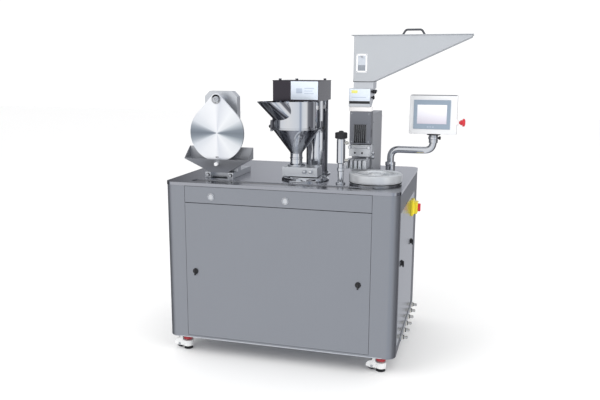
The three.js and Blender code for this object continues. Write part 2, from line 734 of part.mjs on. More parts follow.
/** Folded sheet trough: high back, low front rim, floor sloping to an open slot. */
function buildTrough(discZ) {
  const t = trough;
  const bottom = deck + closing.baseHeight + GAP;
  const rim = discZ - closing.discRadius + t.rimAboveDisc;
  const backTop = rim + t.backRise;
  const halfWidth = closing.discRadius + t.sideMargin;
  const frontView = (side, lift) => outline([
    [closing.x - halfWidth + side, backTop + 40 * Math.sign(side) + 1],
    [closing.x - halfWidth + side, rim + lift],
    [closing.x - t.bottomHalf + side, bottom + lift],
    [closing.x + t.bottomHalf - side, bottom + lift],
    [closing.x + halfWidth - side, rim + lift],
    [closing.x + halfWidth - side, backTop + 40 * Math.sign(side) + 1],
  ]);
  const sideView = outline([
    [t.front, rim],
    [t.bottomFront, bottom],
    [t.back, bottom],
    [t.back, backTop],
    [t.back - t.wall, backTop],
  ]);
  const innerSide = outline([
    [t.front, rim + t.slantWall],
    [t.bottomFront, bottom + t.slantWall],
    [t.back - t.wall, bottom + t.slantWall],
    [t.back - t.wall, backTop + 60],
    [t.front, backTop + 60],
  ]);
  const x0 = closing.x - halfWidth - 5;
  const x1 = closing.x + halfWidth + 5;
  const outside = extrudeY(frontView(0, 0), t.front - 5, t.back + 5).intersect(extrudeX(sideView, x0, x1));
  const inside = extrudeY(frontView(t.wall, t.slantWall), t.front - 6, t.back + 6)
    .intersect(extrudeX(innerSide, x0, x1));
  const slot = box(closing.x - t.bottomHalf + t.wall + 2, closing.x + t.bottomHalf - t.wall - 2,
    t.bottomFront + 6, t.back - 6, bottom - 1, bottom + t.slantWall + 1);
  const stopZ = discZ - closing.discRadius - 12;
  const stop = cylinderY(9, closing.x, stopZ, closing.plateFront - 22, closing.plateFront - 6, 16);
  piece("collecting_trough", join(cut(outside, inside, slot), stop), finish.cabinetSteel);
}

// ---------------------------------------------------------------- powder station
function buildPowderStation() {
  const p = powder;
  const turntableTop = deck + GAP + p.turntableHeight;
  const dish = turned([
    [0, deck + GAP],
    [p.turntableRadius, deck + GAP],
    [p.turntableRadius, deck + 6],
    [p.turntableRadius - 12, turntableTop],
    [0, turntableTop],
  ], p.x, p.y, 40);
  const shaft = cylinderZ(p.shaftRadius, p.x, p.y, tableTop - p.shaftDepth, deck + 5);
  piece("powder_turntable", join(dish, shaft), finish.mirrorSteel);

  const shoeBottom = turntableTop + p.shoeClearance;
  const shoeTop = shoeBottom + p.shoeHeight;
  const auger = { x: p.augerX, y: p.augerY };
  const shoeKnob = new THREE.SphereGeometry(10, 16, 10)
    .translate(p.shoeLeft + 115, p.shoeFront - 8, shoeBottom + p.shoeHeight * 0.55);
  const shoe = cut(
    join(
      box(p.shoeLeft, p.shoeLeft + p.shoeWidth, p.shoeFront, p.shoeFront + p.shoeDepth, shoeBottom, shoeTop),
      solid(shoeKnob),
    ),
    cylinderZ(p.augerRadius + 2 * RUNNING, auger.x, auger.y, shoeBottom - 1, shoeTop + 1),
  );
  piece("dosing_shoe", shoe, finish.brightSteel);

  const tubeBottom = shoeTop + GAP;
  const tubeTop = tubeBottom + p.tubeHeight;
  const tube = turned([
    [p.tubeBore, tubeBottom],
    [p.tubeFlange, tubeBottom],
    [p.tubeFlange, tubeBottom + 5],
    [p.tubeRadius, tubeBottom + 9],
    [p.tubeRadius, tubeTop],
    [p.tubeBore, tubeTop],
    [p.tubeBore, tubeBottom],
  ], auger.x, auger.y);
  piece("auger_tube", tube, finish.mirrorSteel);

  const coneBottom = tubeTop + GAP;
  const coneTop = coneBottom + p.coneHeight;
  const rimTop = coneTop + p.barrelHeight;
  const wall = p.hopperWall;
  const outside = turned([
    [0, coneBottom],
    [p.tubeRadius + 1, coneBottom],
    [p.hopperRadius, coneTop - 4],
    [p.hopperRadius + 4, coneTop - 4],
    [p.hopperRadius + 4, coneTop + 4],
    [p.hopperRadius, coneTop + 4],
    [p.hopperRadius, rimTop],
    [0, rimTop],
  ], auger.x, auger.y, 28);
  const inside = turned([
    [0, coneBottom - 1],
    [p.tubeBore, coneBottom - 1],
    [p.tubeBore, coneBottom],
    [p.hopperRadius - wall, coneTop],
    [p.hopperRadius - wall, rimTop + 1],
    [0, rimTop + 1],
  ], auger.x, auger.y, 28);
  const leaning = (radius, bottom, top) => {
    const lean = p.inletLean / p.inletRise;
    const made = new THREE.CylinderGeometry(radius, radius, top - bottom, 28).rotateX(Math.PI / 2);
    made.translate(0, 0, (bottom + top) / 2 - rimTop);
    made.applyMatrix4(new THREE.Matrix4().makeShear(0, 0, 0, 0, -lean, 0));
    made.translate(-p.inletReach, 0, 0).rotateZ(THREE.MathUtils.degToRad(p.inletTurn));
    return solid(made.translate(auger.x, auger.y, rimTop));
  };
  const inletOutside = leaning(p.inletRadius, rimTop - p.inletRise, rimTop);
  const inletInside = leaning(p.inletRadius - wall, rimTop - p.inletRise - 4, rimTop + 3);
  const lug = (side) => {
    const near = auger.x + side * (p.hopperRadius - 20);
    const far = auger.x + side * (p.hopperRadius + 3);
    const first = Math.min(near, far);
    const last = Math.max(near, far);
    return box(first, last, auger.y - 9, auger.y + 9, coneTop - 24, coneTop - 10);
  };
  const powderHopper = cut(join(outside, inletOutside, lug(-1), lug(1)), inside, inletInside);
  piece("powder_hopper", powderHopper, finish.mirrorSteel);

  const latch = (side) => {
    const near = auger.x + side * (p.hopperRadius + 4.6);
    const far = near + side * 9;
    const x0 = Math.min(near, far);
    const x1 = Math.max(near, far);
    return join(
      box(x0, x1, auger.y - 11, auger.y + 11, coneTop - 12, coneTop + 26),
      cylinderY(5, (x0 + x1) / 2, coneTop - 15, auger.y - 13, auger.y + 13, 14),
      box(x0, x1, auger.y - 7, auger.y + 7, coneTop + 25, coneTop + 36),
    );
  };
  piece("hopper_clamp_left", latch(-1), finish.brightSteel);
  piece("hopper_clamp_right", latch(1), finish.brightSteel);

  const screwBottom = shoeBottom + 6;
  const turns = (tubeTop - screwBottom) / p.flightPitch;
  const stirrerZ = coneBottom + p.coneHeight * 0.45;
  const paddle = (side) => {
    const bar = new THREE.BoxGeometry(8, 4, p.coneHeight * 0.7).rotateY(side * 0.6);
    return solid(bar.translate(auger.x + side * 38, auger.y, stirrerZ + 22));
  };
  const crossBar = box(auger.x - 62, auger.x + 62, auger.y - 3, auger.y + 3, stirrerZ + 40, stirrerZ + 50);
  const headBottom = rimTop + GAP;
  const bladeRoot = p.augerShaft - 2;
  const bladeLow = screwBottom + 1;
  const blade = flight(
    bladeRoot, p.augerRadius, p.flightPitch, turns, p.flightThickness, auger.x, auger.y, bladeLow,
  );
  const screw = join(
    cylinderZ(p.augerShaft, auger.x, auger.y, screwBottom, headBottom + 25, 16),
    blade,
    crossBar,
    paddle(-1),
    paddle(1),
  );
  piece("auger", screw, finish.brightSteel);

  const headTop = headBottom + head.height;
  const s = head.sheet;
  const screwHeads = [
    [head.left + 30, head.front + 26],
    [(head.left + head.right) / 2, head.front + 26],
    [head.right - 24, head.back - 40],
  ].map(([x, y]) => cylinderZ(head.screwHead, x, y, headTop - 1, headTop + 11, 14));
  const casing = cut(
    join(box(head.left, head.right, head.front, head.back, headBottom, headTop), ...screwHeads),
    box(head.left + s, head.right - s, head.front + s, head.back - s, headBottom + s, headTop - s),
    cylinderZ(30, auger.x, auger.y, headBottom - 1, headBottom + s + 1),
    cylinderZ(column.spigot + RUNNING, column.x, column.y, headBottom - 1, headBottom + s + 1),
  );
  piece("drive_housing", casing, finish.darkSteel);
  const motorBottom = headBottom + 26;
  const motor = join(
    cylinderZ(34, auger.x, auger.y, motorBottom, headTop - s - 4, 24),
    box(auger.x - 30, auger.x + 30, auger.y, auger.y + 120, motorBottom + 5, motorBottom + 50),
  );
  piece("auger_motor", motor, finish.blackPlastic);

  const columnTop = headBottom - GAP;
  const columnBottom = tableTop - column.depthBelow;
  const columnBore = column.radius - column.wall;
  const pillar = cut(
    join(
      cylinderZ(column.radius, column.x, column.y, columnBottom, columnTop, 40),
      cylinderZ(column.spigot, column.x, column.y, columnTop - 1, headBottom + column.spigotHeight, 20),
    ),
    cylinderZ(columnBore, column.x, column.y, columnBottom - 1, columnTop - 2 * column.wall, 20),
  );
  piece("powder_column", pillar, finish.mirrorSteel);
}

// ---------------------------------------------------------------- loader
function buildLoader() {
  const l = loader;
  const left = cabinet.width - l.leftInset;
  const right = left + l.width;
  const middle = (left + right) / 2;

  const barrelBottom = tableTop + post.baseHeight;
  const barrelTop = barrelBottom + post.barrelHeight;
  const postBody = turned([
    [0, deck],
    [post.baseRadius + 9, deck],
    [post.baseRadius + 9, deck + 7],
    [post.baseRadius, deck + 8],
    [post.baseRadius, barrelBottom],
    [post.barrelRadius, barrelBottom],
    [post.barrelRadius, barrelTop],
    [post.knobRadius, barrelTop + 3],
    [post.knobRadius, barrelTop + post.knobHeight - 4],
    [post.knobRadius - 5, barrelTop + post.knobHeight],
    [0, barrelTop + post.knobHeight],
  ], post.x, post.y, 20);
  const barrelSide = post.x + post.barrelRadius;
  const fitting = (z) => cylinderX(6, post.y, z, barrelSide - 3, barrelSide + 16, 12);
  const postCylinder = join(postBody, fitting(barrelBottom + 14), fitting(barrelTop - 20));
  piece("post_cylinder", postCylinder, finish.brightSteel);

  const magazineBottom = tableTop + l.magazineBottom;
  const feederBottom = magazineBottom + l.magazineHeight + l.magazineStroke + l.feederClearance;
  const housingTop = deck + l.housingHeight;
  const housing = cut(
    join(
      box(left, right, l.housingFront, l.housingBack, deck, housingTop),
      cylinderZ(12, right - 22, l.housingFront + 24, housingTop - 1, housingTop + 14, 20),
      cylinderZ(7, right - 22, l.housingFront + 24, housingTop + 13, feederBottom - 2, 14),
    ),
    box(left + l.wall, right - l.wall, l.housingFront + l.wall, l.housingBack - l.wall, deck - 1,
      housingTop - l.wall),
  );
  piece("loader_housing", housing, finish.cabinetSteel);

  const combLeft = middle - l.combWidth / 2;
  let magazine = box(left, right, l.magazineFront, l.housingFront - 2, magazineBottom,
    magazineBottom + l.magazineHeight);
  const pitch = l.combWidth / l.grooveCount;
  for (let index = 0; index < l.grooveCount; index += 1) {
    const x = combLeft + index * pitch + (pitch - l.groove) / 2;
    magazine = cut(magazine, box(x, x + l.groove, l.magazineFront - 1, l.magazineFront + l.grooveDepth,
      magazineBottom + l.combBottom, magazineBottom + l.combBottom + l.combHeight));
  }
  piece("magazine", magazine, finish.cabinetSteel);

  const headBottom = tableTop + l.headBottom;
  const headTop = headBottom + l.headHeight;
  const barZ = headTop - 12;
  const nut = (x) => cylinderY(l.nutRadius, x, barZ, l.headFront - 12, l.headFront + 1, 6);
  const sowing = join(
    box(left, right, l.headFront, l.housingFront - GAP, headBottom, headTop),
    cylinderX(l.barRadius, l.headFront - 4, barZ, left - 4, right + 4, 12),
    nut(left + 6),
    nut(right - 6),
    cylinderY(6, right - 8, headBottom + 8, l.headFront - 10, l.headFront + 1, 12),
  );
  piece("sowing_head", sowing, finish.castGrey);

  const forkBottom = tableTop + l.forkBottom;
  let fork = join(
    box(left, right, l.forkFront, l.forkBack, forkBottom, forkBottom + l.forkHeight),
    cylinderZ(7, right - 10, l.forkBack - 10, forkBottom + l.forkHeight - 1, headBottom - 2, 12),
  );
  const tinePitch = l.width / l.tineCount;
  for (let index = 1; index < l.tineCount; index += 1) {
    const x = left + index * tinePitch - l.tineGap / 2;
    fork = cut(fork, box(x, x + l.tineGap, l.forkFront - 1, l.forkFront + l.tineDepth,
      forkBottom - 1, forkBottom + l.forkHeight + 1));
  }
  piece("pusher_fork", fork, finish.brightSteel);

  const feederTop = feederBottom + l.feederHeight;
  const channelStep = feederBottom + l.feederStep;
  const feederSide = outline([
    [l.magazineFront - 6, feederBottom],
    [l.housingFront - 30, feederBottom],
    [l.feederBack, feederTop - 22],
    [l.feederBack, feederTop],
    [l.magazineFront - 6, feederTop],
  ]);
  const neckTop = feederTop + l.neckHeight;
  const neckLeft = left + l.neckShift;
  const neckRight = right + l.neckShift - 8;
  const chuteFront = l.magazineFront + 4;
  const chuteBack = l.housingFront - 36;
  const feeder = cut(
    join(
      extrudeX(feederSide, left - 6, right - 4),
      box(neckLeft, neckRight, l.magazineFront, l.neckBack, feederTop - 1, neckTop),
      cylinderX(6, l.feederBack - 30, feederTop - 14, right - 5, right + 10, 14),
    ),
    box(neckLeft + 4, right - 10, l.magazineFront + 4, l.neckBack - 4, channelStep, neckTop + 1),
    box(neckLeft + 4, right - 14, chuteFront, chuteBack, feederBottom - 1, channelStep + 1),
  );
  piece("feeder_box", feeder, finish.brightSteel);
  buildHopper(neckLeft, neckRight, neckTop + GAP);

  const centreX = cabinet.width - ring.rightInset;
  const tableBottom = deck + GAP;
  const plateTop = tableBottom + ring.tableHeight;
  const turntable = join(
    cylinderZ(ring.tableRadius, centreX, ring.y, tableBottom, plateTop, 40),
    cylinderZ(powder.shaftRadius, centreX, ring.y, tableTop - powder.shaftDepth, tableBottom + 1),
    cylinderZ(ring.bore - RUNNING, centreX, ring.y, plateTop - 1, plateTop + ring.height - 6),
  );
  piece("loader_turntable", turntable, finish.aluminium);
  const ringBottom = plateTop + GAP;
  const ringTop = ringBottom + ring.height;
  const floor = ringTop - ring.recess;
  const capsuleRing = turned([
    [ring.bore, ringBottom],
    [ring.radius, ringBottom],
    [ring.radius, ringTop],
    [ring.radius - ring.rim, ringTop],
    [ring.radius - ring.rim, floor],
    [ring.hub, floor],
    [ring.hub, ringTop],
    [ring.bore, ringTop],
    [ring.bore, ringBottom],
  ], centreX, ring.y, 36);
  piece("capsule_ring", capsuleRing, finish.aluminium);
}

/** Long wedge hopper over the feeder neck, with its loose lid. */
function buildHopper(neckLeft, neckRight, bottom) {
  const h = hopper;
  const top = bottom + h.height;
  const wedge = (inset, lift) => outline([
    [neckLeft + inset, bottom - lift],
    [neckRight - inset, bottom - lift],
    [neckRight - inset * 2, bottom],
    [neckLeft + h.length - inset * 6, top - h.tip + inset * 1.5],
    [neckLeft + h.length - inset, top + lift],
    [neckLeft + inset, top + lift],
  ]);
  const back = h.front + h.depth;
  const shell = cut(
    extrudeY(wedge(0, 0), h.front, back),
    extrudeY(wedge(h.wall, 1), h.front + h.wall, back - h.wall),
  );
  piece("capsule_hopper", shell, finish.brightSteel);
  const lidBottom = top + GAP;
  const lidTop = lidBottom + h.lid;
  const handleLeft = neckLeft + h.handleFrom;
  const handleRight = handleLeft + h.handleLength;
  const mid = h.front + h.depth / 2;
  const gripZ = lidTop + h.handleHeight - h.handleRadius;
  const handle = join(
    cylinderX(h.handleRadius, mid, gripZ, handleLeft, handleRight, 12),
    cylinderZ(h.handleRadius, handleLeft + h.handleRadius, mid, lidTop - 1, gripZ, 12),
    cylinderZ(h.handleRadius, handleRight - h.handleRadius, mid, lidTop - 1, gripZ, 12),
  );
  const lidRight = neckLeft + h.length + h.lidLip;
  const lid = join(
    box(neckLeft - 14, lidRight, h.front - h.lidLip, back + h.lidLip, lidBottom, lidTop),
    handle,
  );
  piece("hopper_lid", lid, finish.brightSteel);
}

// ---------------------------------------------------------------- operator panel
function buildOperatorPanel() {
  const a = arm;
  const x = cabinet.width - a.rightInset;
  const bore = a.pipeRadius + RUNNING;
  const collarTop = deck + a.collarHeight;
  const collar = turned([
    [0, deck],
    [a.flangeRadius, deck],
    [a.flangeRadius, deck + 8],
    [a.collarRadius, deck + 9],
    [a.collarRadius, collarTop],
    [bore, collarTop],
    [bore, deck + a.pipeInset],
    [0, deck + a.pipeInset],
  ], x, a.y, 20);
  piece("arm_collar", collar, finish.brightSteel);

  const start = deck + a.pipeInset + GAP;
  const run = tableTop + a.runHeight;
  const end = tableTop + a.topHeight;
  const route = new THREE.CurvePath();
  const at = (px, pz) => new THREE.Vector3(px, a.y, pz);
  const elbow = (from, corner, to) => new THREE.QuadraticBezierCurve3(from, corner, to);
  const far = x + a.reach;
  route.add(new THREE.LineCurve3(at(x, start), at(x, run - a.bend)));
  route.add(elbow(at(x, run - a.bend), at(x, run), at(x + a.bend, run)));
  route.add(new THREE.LineCurve3(at(x + a.bend, run), at(far - a.bend, run)));
  route.add(elbow(at(far - a.bend, run), at(far, run), at(far, run + a.bend)));
  route.add(new THREE.LineCurve3(at(far, run + a.bend), at(far, end)));
  const section = new THREE.Shape().absarc(0, 0, a.pipeRadius, 0, 2 * Math.PI);
  const pipe = new THREE.ExtrudeGeometry(section, { steps: 26, extrudePath: route, curveSegments: 6 });
  piece("hmi_arm", solid(pipe), finish.mirrorSteel);

  const boxBottom = end + 8;
  const boxLeft = far - hmi.leftOfArm;
  const boxRight = boxLeft + hmi.width;
  const boxFront = a.y - hmi.depth / 2;
  const boxBack = a.y + hmi.depth / 2;
  const boxTop = boxBottom + hmi.height;
  const neckBottom = boxBottom - hmi.neckLength;
  const estopZ = boxBottom + estop.height;
  const enclosure = cut(
    join(
      extrudeY(roundRect(boxLeft, boxBottom, boxRight, boxTop, 6), boxFront, boxBack, 3),
      cylinderZ(hmi.neckRadius, far, a.y, neckBottom, boxBottom + 1, 28),
      cylinderZ(hmi.neckRadius + 12, far, a.y, boxBottom - 6, boxBottom + 1, 28),
      cylinderX(7, a.y, neckBottom + 18, far + hmi.neckRadius - 3, far + hmi.neckRadius + 14, 12),
      cylinderX(estop.baseRadius, a.y, estopZ, boxRight - 1, boxRight + estop.baseLength, 20),
    ),
    cylinderZ(bore, far, a.y, neckBottom - 1, boxBottom + hmi.wall + 1, 20),
    box(boxLeft + hmi.wall, boxRight - 12, boxFront + hmi.wall, boxBack - hmi.wall, boxBottom + hmi.wall,
      boxTop - hmi.wall),
    cylinderX(8, a.y, estopZ, boxRight - 14, boxRight + estop.baseLength + 1, 16),
  );
  piece("hmi_box", enclosure, finish.whitePaint);
  const bezelLeft = boxLeft + hmi.bezelInset;
  const bezelBottom = boxBottom + hmi.bezelUp;
  const bezelBack = boxFront - GAP;
  const bezel = box(
    bezelLeft, bezelLeft + hmi.bezelWidth, bezelBack - hmi.bezelThickness, bezelBack,
    bezelBottom, bezelBottom + hmi.bezelHeight,
  );
  piece("hmi_screen", bezel, finish.screenGlass);
  const capStart = boxRight + estop.baseLength + estop.stroke + GAP;
  const cap = turned([
    [0, -14],
    [7, -14],
    [7, 0],
    [estop.stemRadius, 0],
    [estop.stemRadius + 2, estop.length * 0.45],
    [estop.capRadius, estop.length * 0.75],
    [estop.capRadius - 2, estop.length],
    [0, estop.length],
  ], 0, 0, 24);
  piece("estop_button", cap.rotate([0, 90, 0]).translate([capStart, a.y, estopZ]), finish.redPlastic);
}

buildCabinet();
buildTable();
buildPanels();
buildControls();
buildInterior();
buildCasters();
buildClosingStation();
buildPowderStation();
buildLoader();
buildOperatorPanel();

// The origin is the middle of the footprint of everything, on the floor.
const extent = new THREE.Box3().setFromObject(machine);
machine.position.set(-(extent.min.x + extent.max.x) / 2, -(extent.min.y + extent.max.y) / 2, -extent.min.z);

export default group;
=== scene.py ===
"""Looks of a capsule filling machine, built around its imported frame.

Every piece is in metres in the frame's own axes: +X to the machine's right, +Y to its
back and +Z up. Sizes that belong to the looks alone are dataclass fields in millimetres.
Places come from the boxes of the frame's nodes.
"""

from __future__ import annotations

import json
import logging
import math
from dataclasses import dataclass, field
from enum import Enum
from typing import Iterable, Sequence

import bpy
from mathutils import Matrix, Vector


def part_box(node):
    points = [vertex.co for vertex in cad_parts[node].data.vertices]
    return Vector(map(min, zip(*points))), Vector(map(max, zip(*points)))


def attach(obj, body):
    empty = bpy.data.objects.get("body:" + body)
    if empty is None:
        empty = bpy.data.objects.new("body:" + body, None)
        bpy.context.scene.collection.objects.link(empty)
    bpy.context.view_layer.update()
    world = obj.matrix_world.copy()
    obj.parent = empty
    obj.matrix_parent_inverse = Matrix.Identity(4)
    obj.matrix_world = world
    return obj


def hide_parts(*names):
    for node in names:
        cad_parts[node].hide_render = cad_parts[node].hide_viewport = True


LOG = logging.getLogger("capsule_filler")
MM = 0.001
TAU = 2.0 * math.pi

Profile = Sequence[tuple[float, float]]
Solid = bpy.types.Object
Socket = bpy.types.NodeSocket


class Axis(Enum):
    """Direction that a turned piece points along, as the rotation that takes +Z there."""

    UP = Matrix.Identity(4)
    FRONT = Matrix.Rotation(math.pi / 2, 4, "X")
    BACK = Matrix.Rotation(-math.pi / 2, 4, "X")
    RIGHT = Matrix.Rotation(math.pi / 2, 4, "Y")
    LEFT = Matrix.Rotation(-math.pi / 2, 4, "Y")


class Grain(Enum):
    """How much finer a brushed pattern is along X, Y and Z. The lines run along the small one."""

    ALONG_X = (0.02, 1.0, 1.0)
    ALONG_Z = (1.0, 1.0, 0.02)
    NONE = (1.0, 1.0, 1.0)


class Slot(Enum):
    """Material slots of the record."""

    CABINET = "cabinet_steel"
    TABLE = "table_steel"
    SHELF = "shelf_steel"
    POLISHED = "polished_steel"
    SATIN = "satin_steel"
    NICKEL = "nickel_brass"
    DARK_MIRROR = "dark_mirror_steel"
    ALUMINIUM = "machined_aluminium"
    GREY_ALUMINIUM = "grey_aluminium"
    WHITE_PAINT = "white_paint"
    BEZEL = "bezel_plastic"
    BLACK = "black_plastic"
    RED = "red_plastic"
    YELLOW = "yellow_plastic"
    MOTOR = "motor_casting"
    CONTROL = "control_units"
    CASTER = "caster_casting"
    NYLON = "caster_nylon"
    CASTER_RED = "caster_red"


# ---------------------------------------------------------------- shader helpers
def linear(code: str, alpha: float = 1.0) -> tuple[float, float, float, float]:
    """Turn an sRGB hex colour into linear values.

    Args:
        code: Colour such as "#A0A4AC".
        alpha: Opacity.

    Returns:
        Red, green, blue and alpha, linear.
    """
    channels = [int(code[start : start + 2], 16) / 255 for start in (1, 3, 5)]
    turned_linear = [c / 12.92 if c <= 0.04045 else ((c + 0.055) / 1.055) ** 2.4 for c in channels]
    return (*turned_linear, alpha)


def add_node(tree: bpy.types.NodeTree, kind: str, inputs: dict | None = None, **settings) -> bpy.types.Node:
    """Add a node with its settings, values and links.

    Args:
        tree: Node tree that gets the node.
        kind: Node type, such as "ShaderNodeBump".
        inputs: Input name or number to a value or to the output socket that feeds it.
        **settings: Attributes of the node.

    Returns:
        The new node.
    """
    node = tree.nodes.new(kind)
    for name, value in settings.items():
        setattr(node, name, value)
    for name, value in (inputs or {}).items():
        if isinstance(value, bpy.types.NodeSocket):
            tree.links.new(value, node.inputs[name])
        else:
            node.inputs[name].default_value = value
    return node


def set_ramp(node: bpy.types.Node, stops: Sequence[tuple[float, str]]) -> Socket:
    """Give a colour ramp its stops.

    Args:
        node: ColorRamp node.
        stops: Position and hex colour of each stop, in rising order.

    Returns:
        The ramp's colour output.
    """
    elements = node.color_ramp.elements
    while len(elements) < len(stops):
        elements.new(1.0)
    for element, (position, code) in zip(elements, stops):
        element.position = position
        element.color = linear(code)
    return node.outputs["Color"]


@dataclass(frozen=True)
class Finish:
    """Surface finish. Each kind of finish draws its own pattern.

    Attributes:
        name: Name of the material.
        colour: Main colour, sRGB hex.
        metallic: 1 for bare metal, 0 for paint and plastic.
        roughness: Middle value of the roughness.
        feature: Size of the pattern's features in millimetres.
        contrast: How far the pattern lightens and darkens the colour, from 0 to 1.
        relief: Depth of the pattern in millimetres.
    """

    name: str
    colour: str
    metallic: float = 0.0
    roughness: float = 0.4
    feature: float = 2.0
    contrast: float = 0.05
    relief: float = 0.02

    def start(self) -> tuple[bpy.types.Material, bpy.types.NodeTree, bpy.types.Node, Socket]:
        """Make the material with an empty shader.

        Returns:
            The material, its node tree, its Principled shader and the object coordinates.
        """
        made = bpy.data.materials.new(self.name)
        made.use_nodes = True
        tree = made.node_tree
        tree.nodes.clear()
        shader = add_node(tree, "ShaderNodeBsdfPrincipled", {"Metallic": self.metallic})
        add_node(tree, "ShaderNodeOutputMaterial", {"Surface": shader.outputs["BSDF"]})
        place = add_node(tree, "ShaderNodeTexCoord").outputs["Object"]
        made.diffuse_color = linear(self.colour)
        return made, tree, shader, place

    def noise(self, tree: bpy.types.NodeTree, place: Socket, size: float, scale: Sequence[float]) -> Socket:
        """Noise of one feature size.

        Args:
            tree: Node tree of the material.
            place: Coordinates that the noise reads.
            size: Feature size in millimetres.
            scale: Stretch along X, Y and Z.

        Returns:
            The noise's value, from 0 to 1.
        """
        frequency = 1.0 / (size * MM)
        mapping = add_node(
            tree, "ShaderNodeMapping", {"Vector": place, "Scale": [frequency * s for s in scale]}
        )
        made = add_node(
            tree, "ShaderNodeTexNoise",
            {"Vector": mapping.outputs["Vector"], "Scale": 1.0, "Detail": 3.0, "Roughness": 0.6},
        )
        return made.outputs["Fac"]

    def vary(
        self, tree: bpy.types.NodeTree, shader: bpy.types.Node, factor: Socket, colour: Socket | None
    ) -> None:
        """Let a factor lighten and darken the colour, and move the roughness a little.

        Args:
            tree: Node tree of the material.
            shader: Principled shader.
            factor: Value from 0 to 1.
            colour: Colour output to vary, or None for the plain colour.
        """
        shade = add_node(
            tree, "ShaderNodeMapRange",
            {"Value": factor, "To Min": 1.0 - self.contrast, "To Max": 1.0 + self.contrast},
        )
        base = colour if colour is not None else linear(self.colour)
        mixed = add_node(
            tree, "ShaderNodeMix", {"Factor": 1.0, 6: base}, data_type="RGBA", blend_type="MULTIPLY"
        )
        tree.links.new(shade.outputs["Result"], mixed.inputs[7])
        tree.links.new(mixed.outputs[2], shader.inputs["Base Color"])
        rough = add_node(
            tree,
            "ShaderNodeMapRange",
            {
                "Value": factor, "To Min": max(self.roughness * (1.0 - 2.0 * self.contrast), 0.02),
                "To Max": self.roughness * (1.0 + 2.0 * self.contrast),
            },
        )
        tree.links.new(rough.outputs["Result"], shader.inputs["Roughness"])

    def raise_relief(self, tree: bpy.types.NodeTree, shader: bpy.types.Node, height: Socket) -> None:
        """Bump the surface by a height from 0 to 1, as deep as the finish says."""
        bump = add_node(
            tree, "ShaderNodeBump", {"Height": height, "Strength": 0.6, "Distance": self.relief * MM}
        )
        tree.links.new(bump.outputs["Normal"], shader.inputs["Normal"])

    def build(self) -> bpy.types.Material:
        """Make the material with an even grain, as on moulded plastic or paint.

        Returns:
            The material.
        """
        made, tree, shader, place = self.start()
        fine = self.noise(tree, place, self.feature, Grain.NONE.value)
        self.vary(tree, shader, fine, None)
        self.raise_relief(tree, shader, fine)
        return made

    def material(self) -> bpy.types.Material:
        """The material of this finish, made the first time that it is asked for."""
        return bpy.data.materials.get(self.name) or self.build()


@dataclass(frozen=True)
class BrushedMetal(Finish):
    """Metal with a brushed grain.

    Attributes:
        grain: Direction of the lines.
        cloud: Size in millimetres of the broad, soft shading that sheet metal shows.
        anisotropy: How far the highlight is drawn out across the lines.
    """

    metallic: float = 1.0
    grain: Grain = Grain.ALONG_Z
    cloud: float = 260.0
    anisotropy: float = 0.0

    def build(self) -> bpy.types.Material:
        """Make the material with long brush lines over a broad soft shading.

        Returns:
            The material.
        """
        made, tree, shader, place = self.start()
        shader.inputs["Anisotropic"].default_value = self.anisotropy
        lines = self.noise(tree, place, self.feature, self.grain.value)
        broad = self.noise(tree, place, self.cloud, Grain.NONE.value)
        both = add_node(tree, "ShaderNodeMath", {0: lines, 1: broad}, operation="ADD")
        half = add_node(tree, "ShaderNodeMath", {0: both.outputs[0], 1: 0.5}, operation="MULTIPLY")
        self.vary(tree, shader, half.outputs[0], None)
        self.raise_relief(tree, shader, lines)
        return made


@dataclass(frozen=True)
class TurnedMetal(Finish):
    """Metal faced on a lathe: fine rings about a centre, with fans of light and shade.

    Attributes:
        centre: Point on the axis, in metres.
        upright: True if the axis runs up, False if it runs front to back.
        anisotropy: How far the highlight is drawn out across the rings.
        fans: Painted highlight and shade round the centre: share of the half turn from +X, and hex colour.
    """

    metallic: float = 1.0
    centre: tuple[float, float, float] = (0.0, 0.0, 0.0)
    upright: bool = True
    anisotropy: float = 0.0
    fans: tuple[tuple[float, str], ...] = ((0.0, "#C8CBCF"), (1.0, "#C8CBCF"))

    def build(self) -> bpy.types.Material:
        """Make the material with rings by radius and fans by angle.

        Returns:
            The material.
        """
        made, tree, shader, place = self.start()
        shader.inputs["Anisotropic"].default_value = self.anisotropy
        flat = (1.0, 1.0, 0.0) if self.upright else (1.0, 0.0, 1.0)
        offset = [-c * f for c, f in zip(self.centre, flat)]
        centred = add_node(tree, "ShaderNodeMapping", {"Vector": place, "Location": offset, "Scale": flat})
        split = add_node(tree, "ShaderNodeSeparateXYZ", {"Vector": centred.outputs["Vector"]})
        radius = add_node(
            tree, "ShaderNodeVectorMath", {0: centred.outputs["Vector"]}, operation="LENGTH"
        ).outputs["Value"]
        up = split.outputs["Y" if self.upright else "Z"]
        angle = add_node(tree, "ShaderNodeMath", {0: up, 1: split.outputs["X"]}, operation="ARCTAN2")
        size = add_node(tree, "ShaderNodeMath", {0: angle.outputs[0]}, operation="ABSOLUTE")
        share = add_node(tree, "ShaderNodeMath", {0: size.outputs[0], 1: math.pi}, operation="DIVIDE")
        # Colour by angle round the centre: painted highlight and shade fans.
        ramp = add_node(tree, "ShaderNodeValToRGB", {"Fac": share.outputs[0]})
        colour = set_ramp(ramp, self.fans)
        step = add_node(
            tree, "ShaderNodeMath", {0: radius, 1: 1.0 / (self.feature * MM)}, operation="MULTIPLY"
        )
        rings = add_node(
            tree, "ShaderNodeTexNoise", {"W": step.outputs[0], "Scale": 1.0, "Detail": 2.0},
            noise_dimensions="1D",
        ).outputs["Fac"]
        self.vary(tree, shader, rings, colour)
        self.raise_relief(tree, shader, rings)
        return made


